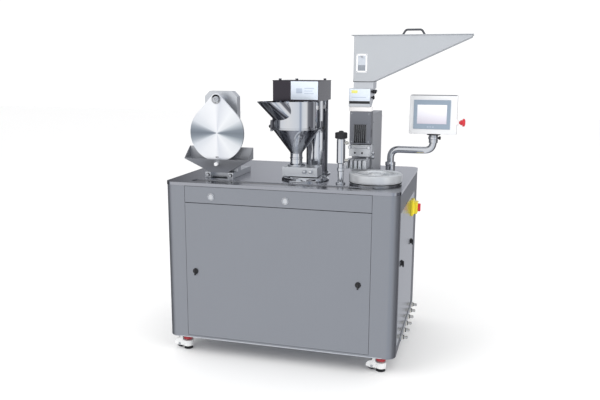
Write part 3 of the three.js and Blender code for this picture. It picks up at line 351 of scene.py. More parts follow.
@dataclass(frozen=True)
class GlowingScreen(Finish):
    """Lit display: a pale gradient from its bottom to its top.

    Attributes:
        low: Lowest corner of the screen, in metres.
        high: Highest corner of the screen, in metres.
        tint: Colour at the bottom.
    """

    low: tuple[float, float, float] = (0.0, 0.0, 0.0)
    high: tuple[float, float, float] = (1.0, 1.0, 1.0)
    tint: str = "#C3BEC9"

    def build(self) -> bpy.types.Material:
        """Make the material: gradient by height, under clear glass.

        Returns:
            The material.
        """
        made, tree, shader, place = self.start()
        split = add_node(tree, "ShaderNodeSeparateXYZ", {"Vector": place})
        height = add_node(
            tree, "ShaderNodeMapRange",
            {"Value": split.outputs["Z"], "From Min": self.low[2], "From Max": self.high[2]},
        )
        ramp = add_node(tree, "ShaderNodeValToRGB", {"Fac": height.outputs["Result"]})
        colour = set_ramp(ramp, ((0.0, self.tint), (0.5, "#D9D8DF"), (1.0, self.colour)))
        tree.links.new(colour, shader.inputs["Base Color"])
        tree.links.new(colour, shader.inputs["Emission Color"])
        shader.inputs["Emission Strength"].default_value = 0.25
        shader.inputs["Roughness"].default_value = self.roughness
        return made


# Austenitic stainless sheet, grit 180 brushed upright: soft grey, faint lines.
CABINET_STEEL = BrushedMetal(
    "brushed_stainless_sheet", "#989BA2", metallic=0.9, roughness=0.45, feature=5.0, contrast=0.05
)
# The same sheet on the side panel, its colour a shade darker as painted shade of that side; seen at a low
# angle, it mirrors its neighbours.
SIDE_STEEL = BrushedMetal(
    "fine_brushed_stainless_sheet", "#92959D", roughness=0.2, feature=4.0, contrast=0.04
)
# Satin stainless of small sheet parts.
SATIN_STEEL = BrushedMetal(
    "satin_stainless_sheet", "#ABADB2", metallic=0.7, roughness=0.4, feature=3.0, contrast=0.04
)
# Stainless sheet, finer grain along the table: it mirrors what stands on it, blurred.
TABLE_STEEL = BrushedMetal(
    "satin_stainless_table", "#A6A8AF", roughness=0.2, feature=4.0, contrast=0.05, grain=Grain.ALONG_X
)
# The same steel in a narrow recess, its colour darkened as painted shade: it reads dark.
GUTTER_STEEL = BrushedMetal(
    "painted_shade_gutter_steel", "#4A4B50", roughness=0.15, feature=3.0, grain=Grain.ALONG_X
)
# Bright stainless with short soft lines, almost white where it faces the light.
BRIGHT_STEEL = BrushedMetal(
    "bright_brushed_stainless", "#CDD0D5", metallic=0.8, roughness=0.3, feature=2.5, contrast=0.04
)
# Thin stainless sheet of the hopper, matt enough to look like light grey paint.
HOPPER_STEEL = BrushedMetal(
    "matt_stainless_hopper", "#C8CBCF", metallic=0.7, roughness=0.45, feature=4.0, contrast=0.03
)
# Drawn bar, a darker grey than the sheet it is screwed to.
GREY_STEEL = BrushedMetal("drawn_steel_bar", "#6C6D72", roughness=0.35, feature=2.0, grain=Grain.ALONG_X)
# Zinc on steel: blue-grey with cloudy crystals.
ZINC = BrushedMetal(
    "zinc_plated_steel", "#A3A7AB", roughness=0.4, feature=9.0, grain=Grain.NONE, cloud=40.0
)
# Milled aluminium: light, slightly warm, with short cutter lines.
MILLED = BrushedMetal("milled_aluminium", "#D3D5D8", roughness=0.28, feature=2.0, grain=Grain.ALONG_X)
# Hard anodised aluminium: even, fairly dark grey.
ANODISED = BrushedMetal("hard_anodised_aluminium", "#85878E", roughness=0.4, feature=2.5, contrast=0.06)
# Mirror polished stainless: clear reflections, with faint wiping marks.
MIRROR = BrushedMetal(
    "mirror_polished_stainless", "#D4D6DA", roughness=0.06, feature=6.0, contrast=0.02, relief=0.002
)
# The same polish, its colour darkened to paint the dark room that it reflects: painted reflection.
DARK_MIRROR = BrushedMetal(
    "dark_polished_stainless", "#444147", roughness=0.2, feature=8.0, contrast=0.04, relief=0.002
)
# Nickel on brass: bright, slightly warm.
NICKEL = BrushedMetal("nickel_plated_brass", "#D6D4CE", roughness=0.15, feature=1.5)
# Zinc plated screws.
SCREW_STEEL = BrushedMetal("turned_screw_steel", "#B9BBBF", roughness=0.22, feature=1.0)
# Powder coat: smooth white with a faint orange peel.
WHITE_COAT = Finish("white_powder_coat", "#EBECEE", roughness=0.35, feature=1.6, contrast=0.01, relief=0.03)
# Powder coated die casting of the casters.
CASTER_COAT = Finish(
    "white_coated_casting", "#EDEEEE", roughness=0.4, feature=2.0, contrast=0.03, relief=0.05
)
# Polycarbonate frame of the panel: pale blue-grey, fine texture.
BEZEL = Finish("textured_polycarbonate_bezel", "#93A2B2", roughness=0.38, feature=0.8, contrast=0.02)
# Moulded polyamide: black, finely spark-eroded.
BLACK = Finish("black_moulded_polyamide", "#1E1E21", roughness=0.5, feature=1.0, contrast=0.12, relief=0.03)
# Nitrile rubber: dull black, slightly dusty.
RUBBER = Finish("black_nitrile_rubber", "#26262A", roughness=0.75, feature=1.5, contrast=0.15, relief=0.04)
# Glossy red ABS, as on emergency stops.
RED = Finish("red_gloss_abs", "#D2303B", roughness=0.28, feature=3.0, contrast=0.03, relief=0.01)
# Red polyamide of the levelling dials, duller.
RED_DIAL = Finish(
    "red_moulded_polyamide", "#B2323B", roughness=0.42, feature=1.2, contrast=0.08, relief=0.03
)
# Yellow ABS of the main switch.
YELLOW = Finish("yellow_gloss_abs", "#F2DE2E", roughness=0.35, feature=3.0, contrast=0.03, relief=0.01)
# Cast nylon of the wheels.
NYLON = Finish("white_cast_nylon", "#E6E5DF", roughness=0.45, feature=1.5, contrast=0.03)
# Blue-grey enamel on cast housings.
ENAMEL = Finish(
    "grey_blue_casting_enamel", "#4D6073", roughness=0.45, feature=2.5, contrast=0.06, relief=0.06
)
# Grey ABS cases of the control units.
GREY_ABS = Finish("grey_abs_cases", "#6F7378", roughness=0.5, feature=1.2, contrast=0.05)
# Printed foil sign: pale, satin, slightly blue.
SIGN = Finish("printed_foil_sign", "#D9E2EE", roughness=0.3, feature=14.0, contrast=0.05, relief=0.005)
# Printed sign field in another ink.
SIGN_YELLOW = Finish(
    "printed_yellow_field", "#E6E27A", roughness=0.35, feature=4.0, contrast=0.03, relief=0.005
)
SIGN_INK = Finish("printed_grey_ink", "#B4BFD0", roughness=0.4, feature=4.0, contrast=0.03, relief=0.005)
# Silicone gasket and sleeve.
SILICONE = Finish("white_silicone", "#F0EEEE", roughness=0.5, feature=2.0, contrast=0.02)
# Acrylic window: clear grey, polished.
ACRYLIC = Finish(
    "smoked_acrylic_window", "#C3C9D2", roughness=0.12, feature=20.0, contrast=0.06, relief=0.002
)
ACRYLIC_LOW = Finish(
    "capsules_behind_acrylic", "#8E949D", roughness=0.3, feature=5.0, contrast=0.2, relief=0.02
)


# ---------------------------------------------------------------- workshop
def clear_selection() -> None:
    """Leave edit mode and select nothing."""
    if bpy.context.mode != "OBJECT":
        bpy.ops.object.mode_set(mode="OBJECT")
    bpy.ops.object.select_all(action="DESELECT")


def activate(piece: Solid) -> Solid:
    """Select this piece alone and make it the active one."""
    clear_selection()
    piece.select_set(True)
    bpy.context.view_layer.objects.active = piece
    return piece


def edit_all(piece: Solid) -> None:
    """Open a piece in edit mode with all of it selected."""
    activate(piece)
    bpy.ops.object.mode_set(mode="EDIT")
    bpy.ops.mesh.select_all(action="SELECT")


def settle(piece: Solid, name: str) -> Solid:
    """Name a new piece and move its place into its mesh.

    Args:
        piece: Piece that was just added.
        name: Its name.

    Returns:
        The same piece, at the origin, unturned and unscaled.
    """
    activate(piece)
    bpy.ops.object.transform_apply(location=True, rotation=True, scale=True)
    piece.name = name
    piece.data.name = name
    return piece


def modified(piece: Solid, kind: str, **settings) -> Solid:
    """Add a modifier and apply it.

    Args:
        piece: Piece to change.
        kind: Modifier type, such as "BEVEL".
        **settings: Attributes of the modifier.

    Returns:
        The same piece.
    """
    activate(piece)
    modifier = piece.modifiers.new(kind.lower(), kind)
    for name, value in settings.items():
        setattr(modifier, name, value)
    bpy.ops.object.modifier_apply(modifier=modifier.name)
    return piece


def rounded(piece: Solid, width: float, segments: int = 2, angle: float = 38.0) -> Solid:
    """Round the sharp edges of a piece and shade it smooth between them.

    Args:
        piece: Piece to finish.
        width: Width of the rounding in millimetres, or 0 for none.
        segments: Steps across the rounding.
        angle: Edges sharper than this, in degrees, are rounded.

    Returns:
        The same piece.
    """
    if width > 0:
        modified(
            piece, "BEVEL", width=width * MM, segments=segments, limit_method="ANGLE",
            angle_limit=math.radians(angle), use_clamp_overlap=True,
        )
    activate(piece)
    bpy.ops.object.shade_smooth_by_angle(angle=math.radians(angle))
    return modified(piece, "WEIGHTED_NORMAL", mode="FACE_AREA", weight=100, keep_sharp=True)


def block(name: str, low: Sequence[float], high: Sequence[float], bevel: float = 1.0) -> Solid:
    """Rectangular block between two corners, its edges rounded in edit mode.

    Args:
        name: Name of the piece.
        low: Lowest corner in metres.
        high: Highest corner in metres.
        bevel: Width of the rounding in millimetres.

    Returns:
        The piece.
    """
    clear_selection()
    middle = [(a + b) / 2 for a, b in zip(low, high)]
    size = [b - a for a, b in zip(low, high)]
    bpy.ops.mesh.primitive_cube_add(size=1.0, location=middle, scale=size)
    piece = settle(bpy.context.object, name)
    edit_all(piece)
    bpy.ops.mesh.bevel(offset=bevel * MM, segments=2, affect="EDGES")
    clear_selection()
    activate(piece)
    bpy.ops.object.shade_smooth_by_angle(angle=math.radians(38))
    return piece


def polyline(name: str, points: Sequence[Sequence[float]]) -> Solid:
    """Chain of vertices, drawn by extruding one vertex from point to point.

    Args:
        name: Name of the piece.
        points: Points in metres.

    Returns:
        The piece, made of edges only.
    """
    clear_selection()
    bpy.ops.mesh.primitive_plane_add(size=MM, location=points[0])
    piece = settle(bpy.context.object, name)
    edit_all(piece)
    bpy.ops.mesh.merge(type="CENTER")
    for here, there in zip(points, points[1:]):
        step = [b - a for a, b in zip(here, there)]
        bpy.ops.mesh.extrude_region_move(TRANSFORM_OT_translate={"value": step})
    return piece


def turned(
    name: str, profile: Profile, origin: Sequence[float], axis: Axis = Axis.UP, steps: int = 48,
    bevel: float = 0.4
) -> Solid:
    """Piece spun about an axis.

    Args:
        name: Name of the piece.
        profile: Radius and distance along the axis in millimetres, from one end to the other.
        origin: Point where the distance is 0, in metres.
        axis: Direction of the axis.
        steps: Steps round the axis.
        bevel: Width of the rounding of its edges in millimetres.

    Returns:
        The piece.
    """
    piece = polyline(name, [(radius * MM, 0.0, along * MM) for radius, along in profile])
    bpy.ops.mesh.select_all(action="SELECT")
    bpy.ops.mesh.spin(steps=steps, angle=TAU, center=(0, 0, 0), axis=(0, 0, 1))
    bpy.ops.mesh.select_all(action="SELECT")
    bpy.ops.mesh.remove_doubles(threshold=0.002 * MM)
    bpy.ops.mesh.normals_make_consistent(inside=False)
    clear_selection()
    piece.data.transform(Matrix.Translation(Vector(origin)) @ axis.value)
    return rounded(piece, bevel)


def cut_out(
    name: str, points: Sequence[Sequence[float]], depth: Sequence[float], bevel: float = 0.8,
    angle: float = 38.0
) -> Solid:
    """Plate cut to an outline and pulled to its thickness.

    Args:
        name: Name of the piece.
        points: Corners of the outline in metres, in order.
        depth: Vector that the outline is pulled along, in metres.
        bevel: Width of the rounding in millimetres.
        angle: Edges sharper than this, in degrees, are rounded.

    Returns:
        The piece.
    """
    piece = polyline(name, [*points, points[0]])
    bpy.ops.mesh.select_all(action="SELECT")
    bpy.ops.mesh.remove_doubles(threshold=0.002 * MM)
    bpy.ops.mesh.edge_face_add()
    bpy.ops.mesh.extrude_region_move(TRANSFORM_OT_translate={"value": depth})
    bpy.ops.mesh.select_all(action="SELECT")
    bpy.ops.mesh.normals_make_consistent(inside=False)
    clear_selection()
    return rounded(piece, bevel, angle=angle)


def bent_tube(name: str, points: Sequence[Sequence[float]], radius: float, corner: float) -> Solid:
    """Round bar or hose along straight stretches with round corners.

    Args:
        name: Name of the piece.
        points: Corners of the route in metres.
        radius: Radius of the bar in millimetres.
        corner: How far before a corner the bend begins, in millimetres.

    Returns:
        The piece.
    """
    route: list[Vector] = [Vector(points[0])]
    for before, at, after in zip(points, points[1:], points[2:]):
        corner_at = Vector(at)
        start = corner_at + (Vector(before) - corner_at).normalized() * corner * MM
        end = corner_at + (Vector(after) - corner_at).normalized() * corner * MM
        bends = 10
        for step in range(bends + 1):
            t = step / bends
            route.append(start * (1 - t) ** 2 + corner_at * 2 * t * (1 - t) + end * t * t)
    route.append(Vector(points[-1]))
    curve = bpy.data.curves.new(name, "CURVE")
    curve.dimensions = "3D"
    spline = curve.splines.new("POLY")
    spline.points.add(len(route) - 1)
    for point, place in zip(spline.points, route):
        point.co = (*place, 1.0)
    curve.bevel_depth = radius * MM
    curve.bevel_resolution = 7
    curve.use_fill_caps = True
    piece = bpy.data.objects.new(name, curve)
    bpy.context.scene.collection.objects.link(piece)
    activate(piece)
    bpy.ops.object.convert(target="MESH")
    piece = bpy.context.object
    edit_all(piece)
    bpy.ops.mesh.remove_doubles(threshold=0.01 * MM)
    bpy.ops.mesh.normals_make_consistent(inside=False)
    clear_selection()
    activate(piece)
    bpy.ops.object.shade_smooth_by_angle(angle=math.radians(50))
    return piece


def hexagon(
    name: str, across: float, height: float, origin: Sequence[float], axis: Axis = Axis.UP
) -> Solid:
    """Hexagon nut or screw head with chamfered corners and a dished middle.

    Args:
        name: Name of the piece.
        across: Size across the flats in millimetres.
        height: Height in millimetres.
        origin: Middle of its foot, in metres.
        axis: Direction that it points along.

    Returns:
        The piece.
    """
    clear_selection()
    radius = across / math.sqrt(3) * MM
    bpy.ops.mesh.primitive_cylinder_add(
        vertices=6, radius=radius, depth=height * MM, location=(0, 0, height * MM / 2)
    )
    piece = settle(bpy.context.object, name)
    edit_all(piece)
    bpy.ops.mesh.select_all(action="DESELECT")
    bpy.ops.object.mode_set(mode="OBJECT")
    for face in piece.data.polygons:
        face.select = face.normal.z > 0.9
    bpy.ops.object.mode_set(mode="EDIT")
    bpy.ops.mesh.inset(thickness=radius * 0.42)
    bpy.ops.mesh.extrude_region_move(TRANSFORM_OT_translate={"value": (0, 0, -height * 0.35 * MM)})
    clear_selection()
    piece.data.transform(Matrix.Translation(Vector(origin)) @ axis.value)
    return rounded(piece, across * 0.05)


def socket_screw(name: str, radius: float, height: float, origin: Sequence[float], axis: Axis) -> Solid:
    """Cylinder head screw with a sunk socket.

    Args:
        name: Name of the piece.
        radius: Radius of the head in millimetres.
        height: Height of the head in millimetres.
        origin: Middle of its foot, in metres.
        axis: Direction that it points along.

    Returns:
        The piece.
    """
    profile = (
        (0, 0), (radius, 0), (radius, height), (radius * 0.5, height), (radius * 0.5, height * 0.45),
        (0, height * 0.45),
    )
    return turned(name, profile, origin, axis, steps=24, bevel=radius * 0.08)


def refined(node: str, name: str, bevel: float, angle: float = 38.0) -> Solid:
    """Copy of a frame node with its flat faces merged and its edges rounded.

    Args:
        node: Name of the node.
        name: Name of the piece.
        bevel: Width of the rounding in millimetres.
        angle: Edges sharper than this, in degrees, are rounded.

    Returns:
        The piece.
    """
    source = bpy.data.objects[node]
    piece = bpy.data.objects.new(name, source.data.copy())
    piece.data.name = name
    bpy.context.scene.collection.objects.link(piece)
    edit_all(piece)
    bpy.ops.mesh.remove_doubles(threshold=0.02 * MM)
    bpy.ops.mesh.dissolve_limited(angle_limit=math.radians(0.6))
    clear_selection()
    return rounded(piece, bevel, angle=angle)


def drilled(piece: Solid, cutters: Iterable[Solid]) -> Solid:
    """Cut other pieces out of a piece and throw them away.

    Args:
        piece: Piece to cut.
        cutters: Pieces whose shapes are taken out.

    Returns:
        The same piece.
    """
    for cutter in list(cutters):
        modified(piece, "BOOLEAN", operation="DIFFERENCE", solver="EXACT", object=cutter)
        bpy.data.objects.remove(cutter)
    return piece


def merged(name: str, pieces: Sequence[Solid]) -> Solid:
    """Join pieces into one object.

    Args:
        name: Name of the joined piece.
        pieces: Pieces to join.

    Returns:
        The joined piece.
    """
    activate(pieces[0])
    for piece in pieces[1:]:
        piece.select_set(True)
    bpy.ops.object.join()
    joined = bpy.context.object
    joined.name = name
    joined.data.name = name
    return joined


def fit(piece: Solid, finish: Finish, body: str, slot: Slot, *stands_for: str) -> Solid:
    """Dress a piece and hang it on the body that moves it.

    Args:
        piece: Finished piece.
        finish: Its finish.
        body: Body that it rides on.
        slot: Material slot of the record that it belongs to; not used.
        *stands_for: Nodes of the frame that it replaces.

    Returns:
        The same piece.
    """
    piece.data.materials.clear()
    piece.data.materials.append(finish.material())
    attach(piece, body)
    if stands_for:
        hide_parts(*stands_for)
    LOG.info("%s rides on %s in %s", piece.name, body, finish.name)
    return piece


@dataclass(frozen=True)
class Extent:
    """Box of a node at rest, in metres."""

    low: Vector
    high: Vector

    @property
    def middle(self) -> Vector:
        """Middle of the box."""
        return (self.low + self.high) / 2

    def at(self, x: float, y: float, z: float) -> Vector:
        """Point at these shares of the box, each from 0 at its low side to 1 at its high side."""
        shares = (x, y, z)
        return Vector([a + (b - a) * s for a, b, s in zip(self.low, self.high, shares)])


def extent(node: str) -> Extent:
    """Box of a frame node."""
    low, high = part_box(node)
    return Extent(low, high)


def joint_place(name: str) -> Vector:
    """Point that a hinge of the frame turns about."""
    found = next(joint for joint in FRAME["joints"] if joint["name"] == name)
    return Vector(found["pos_m"])


def shifted(place: Sequence[float], x: float = 0.0, y: float = 0.0, z: float = 0.0) -> Vector:
    """Point moved by these millimetres."""
    return Vector(place) + Vector((x, y, z)) * MM


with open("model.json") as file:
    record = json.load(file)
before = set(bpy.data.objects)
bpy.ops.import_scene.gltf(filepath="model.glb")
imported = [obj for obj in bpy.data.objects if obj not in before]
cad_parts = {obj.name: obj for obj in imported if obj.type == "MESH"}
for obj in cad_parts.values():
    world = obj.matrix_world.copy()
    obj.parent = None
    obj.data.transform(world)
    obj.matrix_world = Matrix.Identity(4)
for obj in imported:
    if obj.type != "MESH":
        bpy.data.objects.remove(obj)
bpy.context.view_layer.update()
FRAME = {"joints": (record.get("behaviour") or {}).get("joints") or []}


# ---------------------------------------------------------------- cabinet
@dataclass
class Cabinet:
    """Sheet steel cabinet with its table, loose panels, locks, switch and ports."""

    panel_edge: float = 1.2
    corner_radius: float = 60.0
    gutter_depth: float = 4.0
    gutter_left: float = 114.0
    gutter_right: float = 124.0
    gutter_front: float = 47.0
    gutter_back: float = 110.0
    gutter_slant: float = 24.0
    bezel_radius: float = 18.0
    port_count: int = 6
    lock_names: tuple[str, ...] = ("door_lock_left", "door_lock_right", "side_lock_front", "side_lock_rear")

    def build(self) -> None:
        """Build and dress all of the cabinet."""
        self.sheets()
        self.gutter()
        for name in self.lock_names:
            self.lock(name)
        for name in ("closing_button", "filling_button"):
            self.button(name)
        self.main_switch()
        self.hose_ports()
        self.inside()

    def sheets(self) -> None:
        """Shell, table and the three loose panels, with rounded folds."""
        edge = self.panel_edge
        fit(
            refined("cabinet_body", "cabinet_shell", edge), CABINET_STEEL, "cabinet", Slot.CABINET,
            "cabinet_body",
        )
        fit(refined("table_top", "work_table", 2.0), TABLE_STEEL, "cabinet", Slot.TABLE, "table_top")
        shell = extent("cabinet_body")
        corner = self.corner_radius * MM
        strip_low = Vector((shell.low.x + corner, shell.low.y - 0.8 * MM, shell.low.z + 0.4 * MM))
        strip_high = Vector((shell.high.x - corner, shell.low.y + 0.6 * MM, shell.low.z + 4.4 * MM))
        fit(block("base_strip", strip_low, strip_high, bevel=0.5), BRIGHT_STEEL, "cabinet", Slot.CABINET)
        fit(refined("fascia_panel", "fascia", edge), CABINET_STEEL, "cabinet", Slot.CABINET, "fascia_panel")
        fit(
            refined("front_door", "door_panel", edge), CABINET_STEEL, "front_door", Slot.CABINET,
            "front_door",
        )
        # The side panel's darker copy of the sheet is painted shade of that side.
        fit(
            refined("right_side_panel", "side_panel", edge), SIDE_STEEL, "right_side_panel", Slot.CABINET,
            "right_side_panel",
        )

    def gutter(self) -> None:
        """Floor of the drain gutter along the front of the table, dark with painted shade."""
        shell = extent("cabinet_body")
        table = extent("table_top")
        floor = table.high.z - self.gutter_depth * MM + 0.05 * MM
        left = shell.low.x + self.gutter_left * MM
        front = shell.low.y + self.gutter_front * MM
        back = shell.low.y + self.gutter_back * MM
        end = (back - front) / 2
        right = shell.high.x - self.gutter_right * MM - end
        slant = self.gutter_slant * MM
        turns = 10
        nose = [
            (
                right + end * math.sin(math.pi * step / turns),
                front + end * (1 - math.cos(math.pi * step / turns)), floor,
            )
            for step in range(turns + 1)
        ]
        points = [
            (left, front + slant, floor), (left + slant, front, floor), *nose,
            (left + slant / 2, back, floor),
        ]
        liner = cut_out("gutter_floor", points, (0, 0, 0.8 * MM), bevel=0.2)
        # Its dark colour is painted shade of the recess.
        fit(liner, GUTTER_STEEL, "cabinet", Slot.TABLE)

    def lock(self, name: str) -> None:
        """Quarter-turn lock: domed head, winged grip, shaft, nut and tongue.

        Args:
            name: Name of the node, which is also its body.
        """
        box = extent(name)
        pivot = joint_place(f"{name}_turn")
        on_side = name.startswith("side")
        out = Axis.RIGHT if on_side else Axis.FRONT
        depth = box.high.x - pivot.x if on_side else pivot.y - box.low.y
        across = Vector((0, 1, 0)) if on_side else Vector((1, 0, 0))
        outward = Vector((1, 0, 0)) if on_side else Vector((0, -1, 0))
        head = turned(
            f"{name}_head", ((0, 0.3), (14, 0.3), (14, 3), (12.5, 4.6), (9, 5.3), (0, 5.6)), pivot, out
        )
        half = across * 4 * MM
        reach = outward * (depth - 0.4 * MM)
        root = outward * 4.5 * MM
        corners = [pivot + sign * half + side for sign in (-1, 1) for side in (root, reach)]
        low = Vector([min(c[i] for c in corners) for i in range(3)]) + Vector((0, 0, -20 * MM))
        high = Vector([max(c[i] for c in corners) for i in range(3)]) + Vector((0, 0, 9 * MM))
        wing = block(f"{name}_wing", low, high, bevel=1.6)
        grip = merged(f"{name}_grip", [head, wing])
        fit(grip, BLACK, name, Slot.BLACK, name)
        length = (box.high.y - pivot.y if not on_side else pivot.x - box.low.x) / MM
        inward = Axis.LEFT if on_side else Axis.BACK
        shaft = turned(
            f"{name}_shaft",
            ((0, 0), (8, 0), (8, length * 0.5), (5, length * 0.55), (5, length - 3.2), (0, length - 3.2)),
            pivot, inward, steps=24,
        )
        nut = hexagon(f"{name}_nut", 20, 4, pivot - outward * 3 * MM, inward)
        end = pivot - outward * length * MM
        start = end + outward * 3 * MM
        tongue_corners = [end - across * 8 * MM, start + across * 8 * MM]
        low = Vector([min(c[i] for c in tongue_corners) for i in range(3)])
        high = Vector([max(c[i] for c in tongue_corners) for i in range(3)])
        low.z, high.z = box.low.z, pivot.z + 8 * MM
        tongue = block(f"{name}_tongue", low, high, bevel=0.7)
        fit(merged(f"{name}_cam", [shaft, nut, tongue]), ZINC, name, Slot.SATIN)

    def button(self, name: str) -> None:
        """Push button: fixed chrome bezel, sprung domed cap and the nut behind the fascia.

        Args:
            name: Name of the node, which is also its body.
        """
        box = extent(name)
        face = Vector((box.middle.x, extent("fascia_panel").low.y, box.middle.z))
        r = self.bezel_radius
        bezel = turned(
            f"{name}_bezel",
            ((13.6, 0.1), (r, 0.1), (r, 1.4), (r - 1.2, 3.2), (14.8, 3.6), (13.6, 2.6), (13.6, 0.1)),
            face, Axis.FRONT,
        )
        fit(bezel, MIRROR, "cabinet", Slot.POLISHED)
        out = (face.y - box.low.y) / MM
        inner = (box.high.y - face.y) / MM
        cap = turned(
            f"{name}_cap",
            (
                (0, -inner), (13, -inner), (13, out - 1.6), (11.4, out - 0.3), (8.5, out - 0.1),
                (7, out - 1.2), (0, out - 1.6),
            ),
            face,
            Axis.FRONT,
        )
        nut = hexagon(f"{name}_nut", 29, 3, shifted(face, y=4), Axis.BACK)
        fit(cap, MIRROR, name, Slot.POLISHED, name)
        fit(nut, NICKEL, "cabinet", Slot.NICKEL)

    def main_switch(self) -> None:
        """Main switch: yellow plate and body with a raised collar, and a red grip."""
        base = extent("main_switch_base")
        knob = extent("main_switch_knob")
        fit(
            refined("main_switch_base", "switch_body", 3.0), YELLOW, "cabinet", Slot.YELLOW,
            "main_switch_base",
        )
        centre = Vector((base.high.x, knob.middle.y, knob.middle.z))
        collar = turned(
            "switch_collar", ((22, -1), (27, -1), (27, 0.2), (25, 1.6), (22, 1.6), (22, -1)), centre,
            Axis.RIGHT
        )
        fit(collar, YELLOW, "cabinet", Slot.YELLOW)
        length = (knob.high.x - base.high.x) / MM
        radius = (knob.high.y - knob.low.y) / 2 / MM
        disc = turned(
            "switch_disc",
            (
                (0, 0.4), (radius, 0.4), (radius, length * 0.45), (radius - 2, length * 0.55),
                (0, length * 0.6),
            ),
            centre,
            Axis.RIGHT,
        )
        grip_low = centre + Vector((length * 0.3, -6, 0.4 - radius)) * MM
        grip_high = centre + Vector((length - 0.1, 6, radius - 0.4)) * MM
        grip = block("switch_grip", grip_low, grip_high, bevel=2.2)
        fit(merged("switch_knob", [disc, grip]), RED, "main_switch_knob", Slot.RED, "main_switch_knob")
        for y in (-1, 1):
            for z in (-1, 1):
                place = shifted(centre, y=y * 26, z=z * 26)
                screw = socket_screw(
                    f"switch_screw_{'lr'[y > 0]}{'bt'[z > 0]}", 2.2, 1.6, place, Axis.RIGHT
                )
                fit(screw, SCREW_STEEL, "cabinet", Slot.SATIN)

    def hose_ports(self) -> None:
        """Strip with a row of hose barbs, each with its hexagon and rubber ring."""
        box = extent("hose_port_block")
        wall = extent("cabinet_body").high.x
        strip = block(
            "port_strip", (wall + 0.3 * MM, box.low.y, box.low.z),
            (wall + 4 * MM, box.high.y, box.high.z), bevel=1.0
        )
        fit(strip, BRIGHT_STEEL, "cabinet", Slot.NICKEL, "hose_port_block")
        end = 20 * MM
        pitch = (box.high.y - box.low.y - 2 * end) / (self.port_count - 1)
        for index in range(self.port_count):
            place = Vector((wall + 4 * MM, box.low.y + end + index * pitch, box.middle.z))
            nut = hexagon(f"port_{index + 1}_nut", 24, 8, place, Axis.RIGHT)
            fit(nut, NICKEL, "cabinet", Slot.NICKEL)
            barb = [(0, 4), (7, 4), (7, 9)]
            for ridge in range(3):
                along = 11 + ridge * 6
                barb += [(6.6, along), (8.2, along + 0.6), (6.6, along + 5)]
            barb += [(6.2, 29.8), (4, 29.8), (4, 20), (0, 20)]
            fit(
                turned(f"port_{index + 1}_barb", barb, place, Axis.RIGHT, steps=28), NICKEL, "cabinet",
                Slot.NICKEL,
            )
            ring = turned(
                f"port_{index + 1}_ring", ((8.4, 8.2), (11, 8.2), (11, 11), (8.4, 11), (8.4, 8.2)), place,
                Axis.RIGHT
            )
            fit(ring, RUBBER, "cabinet", Slot.BLACK)

    def inside(self) -> None:
        """Machinery behind the door."""
        fit(refined("equipment_shelf", "shelf_plate", 0.8), ZINC, "cabinet", Slot.SHELF, "equipment_shelf")
        fit(refined("vacuum_pump", "pump_casting", 5.0), ENAMEL, "cabinet", Slot.MOTOR, "vacuum_pump")
        fit(
            refined("loader_gearmotor", "gear_case", 4.0), ENAMEL, "cabinet", Slot.MOTOR,
            "loader_gearmotor",
        )
        fit(
            refined("control_plate", "control_units", 2.0), GREY_ABS, "cabinet", Slot.CONTROL,
            "control_plate",
        )
        pump = extent("vacuum_pump")
        length = (pump.high.x - pump.low.x) / MM
        centre = Vector((pump.low.x, pump.middle.y, pump.low.z + 105 * MM))
        for index in range(9):
            along = length * 0.45 + index * 17
            fin = turned(
                f"pump_fin_{index + 1}",
                ((81, along), (88, along), (88, along + 3), (81, along + 3), (81, along)), centre,
                Axis.RIGHT
            )
            fit(fin, ENAMEL, "cabinet", Slot.MOTOR)
        motor = extent("loader_gearmotor")
        axis = Vector((motor.middle.x, motor.middle.y, motor.high.z))
        for index in range(10):
            down = -22 - index * 13
            fin = turned(
                f"gear_motor_fin_{index + 1}",
                ((51, down), (58, down), (58, down + 3), (51, down + 3), (51, down)), axis
            )
            fit(fin, ENAMEL, "cabinet", Slot.MOTOR)


